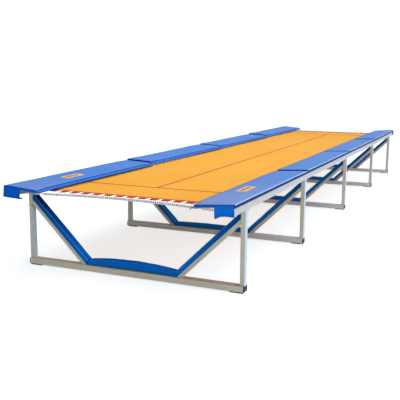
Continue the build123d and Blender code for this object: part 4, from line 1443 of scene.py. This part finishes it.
# soft surround: cool and bright from the right, warm and dimmer from the
# camera's side; the backdrop itself is plain white
wdir = wn.new("ShaderNodeSeparateXYZ")
wl.new(wn.new("ShaderNodeTexCoord").outputs["Generated"], wdir.inputs[0])
lpath = wn.new("ShaderNodeLightPath")
level = wmath("ADD", wmath("ADD", 0.74, wmath("MULTIPLY", wdir.outputs["X"], 1.35)), wmath("MULTIPLY", wdir.outputs["Y"], 0.55))
level = wmath("MAXIMUM", level, 0.30)
level = wmath("MULTIPLY", level, wmath("SUBTRACT", 1.0, wmath("MULTIPLY", lpath.outputs["Is Glossy Ray"], 0.45)))
side_t = wmath("ADD", 0.5, wmath("MULTIPLY", wdir.outputs["X"], 0.5))
tint = wmix(side_t, (1.02, 0.965, 0.82), (0.80, 1.0, 1.32))
white = wmix(lpath.outputs["Is Camera Ray"], tint, (1.0, 1.0, 1.0))
wl.new(white, bg.inputs["Color"])
wl.new(wmath("ADD", wmath("MULTIPLY", level, wmath("SUBTRACT", 1.0, lpath.outputs["Is Camera Ray"])), lpath.outputs["Is Camera Ray"]), bg.inputs["Strength"])


def area(name, loc, aim, size, power, color=(1, 1, 1)):
    d = bpy.data.lights.new(name, "AREA")
    d.shape = "RECTANGLE"
    d.size, d.size_y = size
    d.energy = power
    d.color = color
    o = bpy.data.objects.new(name, d)
    scene.collection.objects.link(o)
    o.location = loc
    o.rotation_euler = (Vector(aim) - Vector(loc)).to_track_quat("-Z", "Y").to_euler()
    return o


area("soft_top", (1.0, -1.0, 9.0), (0.0, 0, 0), (7, 12), 330)

cam_data = bpy.data.cameras.new("view")
cam = bpy.data.objects.new("view", cam_data)
scene.collection.objects.link(cam)
scene.camera = cam
cam_data.sensor_width = 36.0
cam_data.lens = 668.386 / 400 * 36.0
cam_data.clip_end = 200
yaw, pitch, roll = math.radians(23.5385), math.radians(-10.2645), math.radians(0.4447)
fwd = Vector((-math.sin(yaw) * math.cos(pitch), math.cos(yaw) * math.cos(pitch), math.sin(pitch)))
right = Vector((math.cos(yaw), math.sin(yaw), 0))
up = right.cross(fwd)
r2 = right * math.cos(roll) + up * math.sin(roll)
u2 = -right * math.sin(roll) + up * math.cos(roll)
mw = Matrix.Identity(4)
for i in range(3):
    mw[i][0], mw[i][1], mw[i][2] = r2[i], u2[i], -fwd[i]
mw[0][3], mw[1][3], mw[2][3] = 3.309, -10.487, 2.022
cam.matrix_world = mw

scene.view_settings.view_transform = "Standard"
scene.view_settings.exposure = 0.0

bpy.context.view_layer.update()
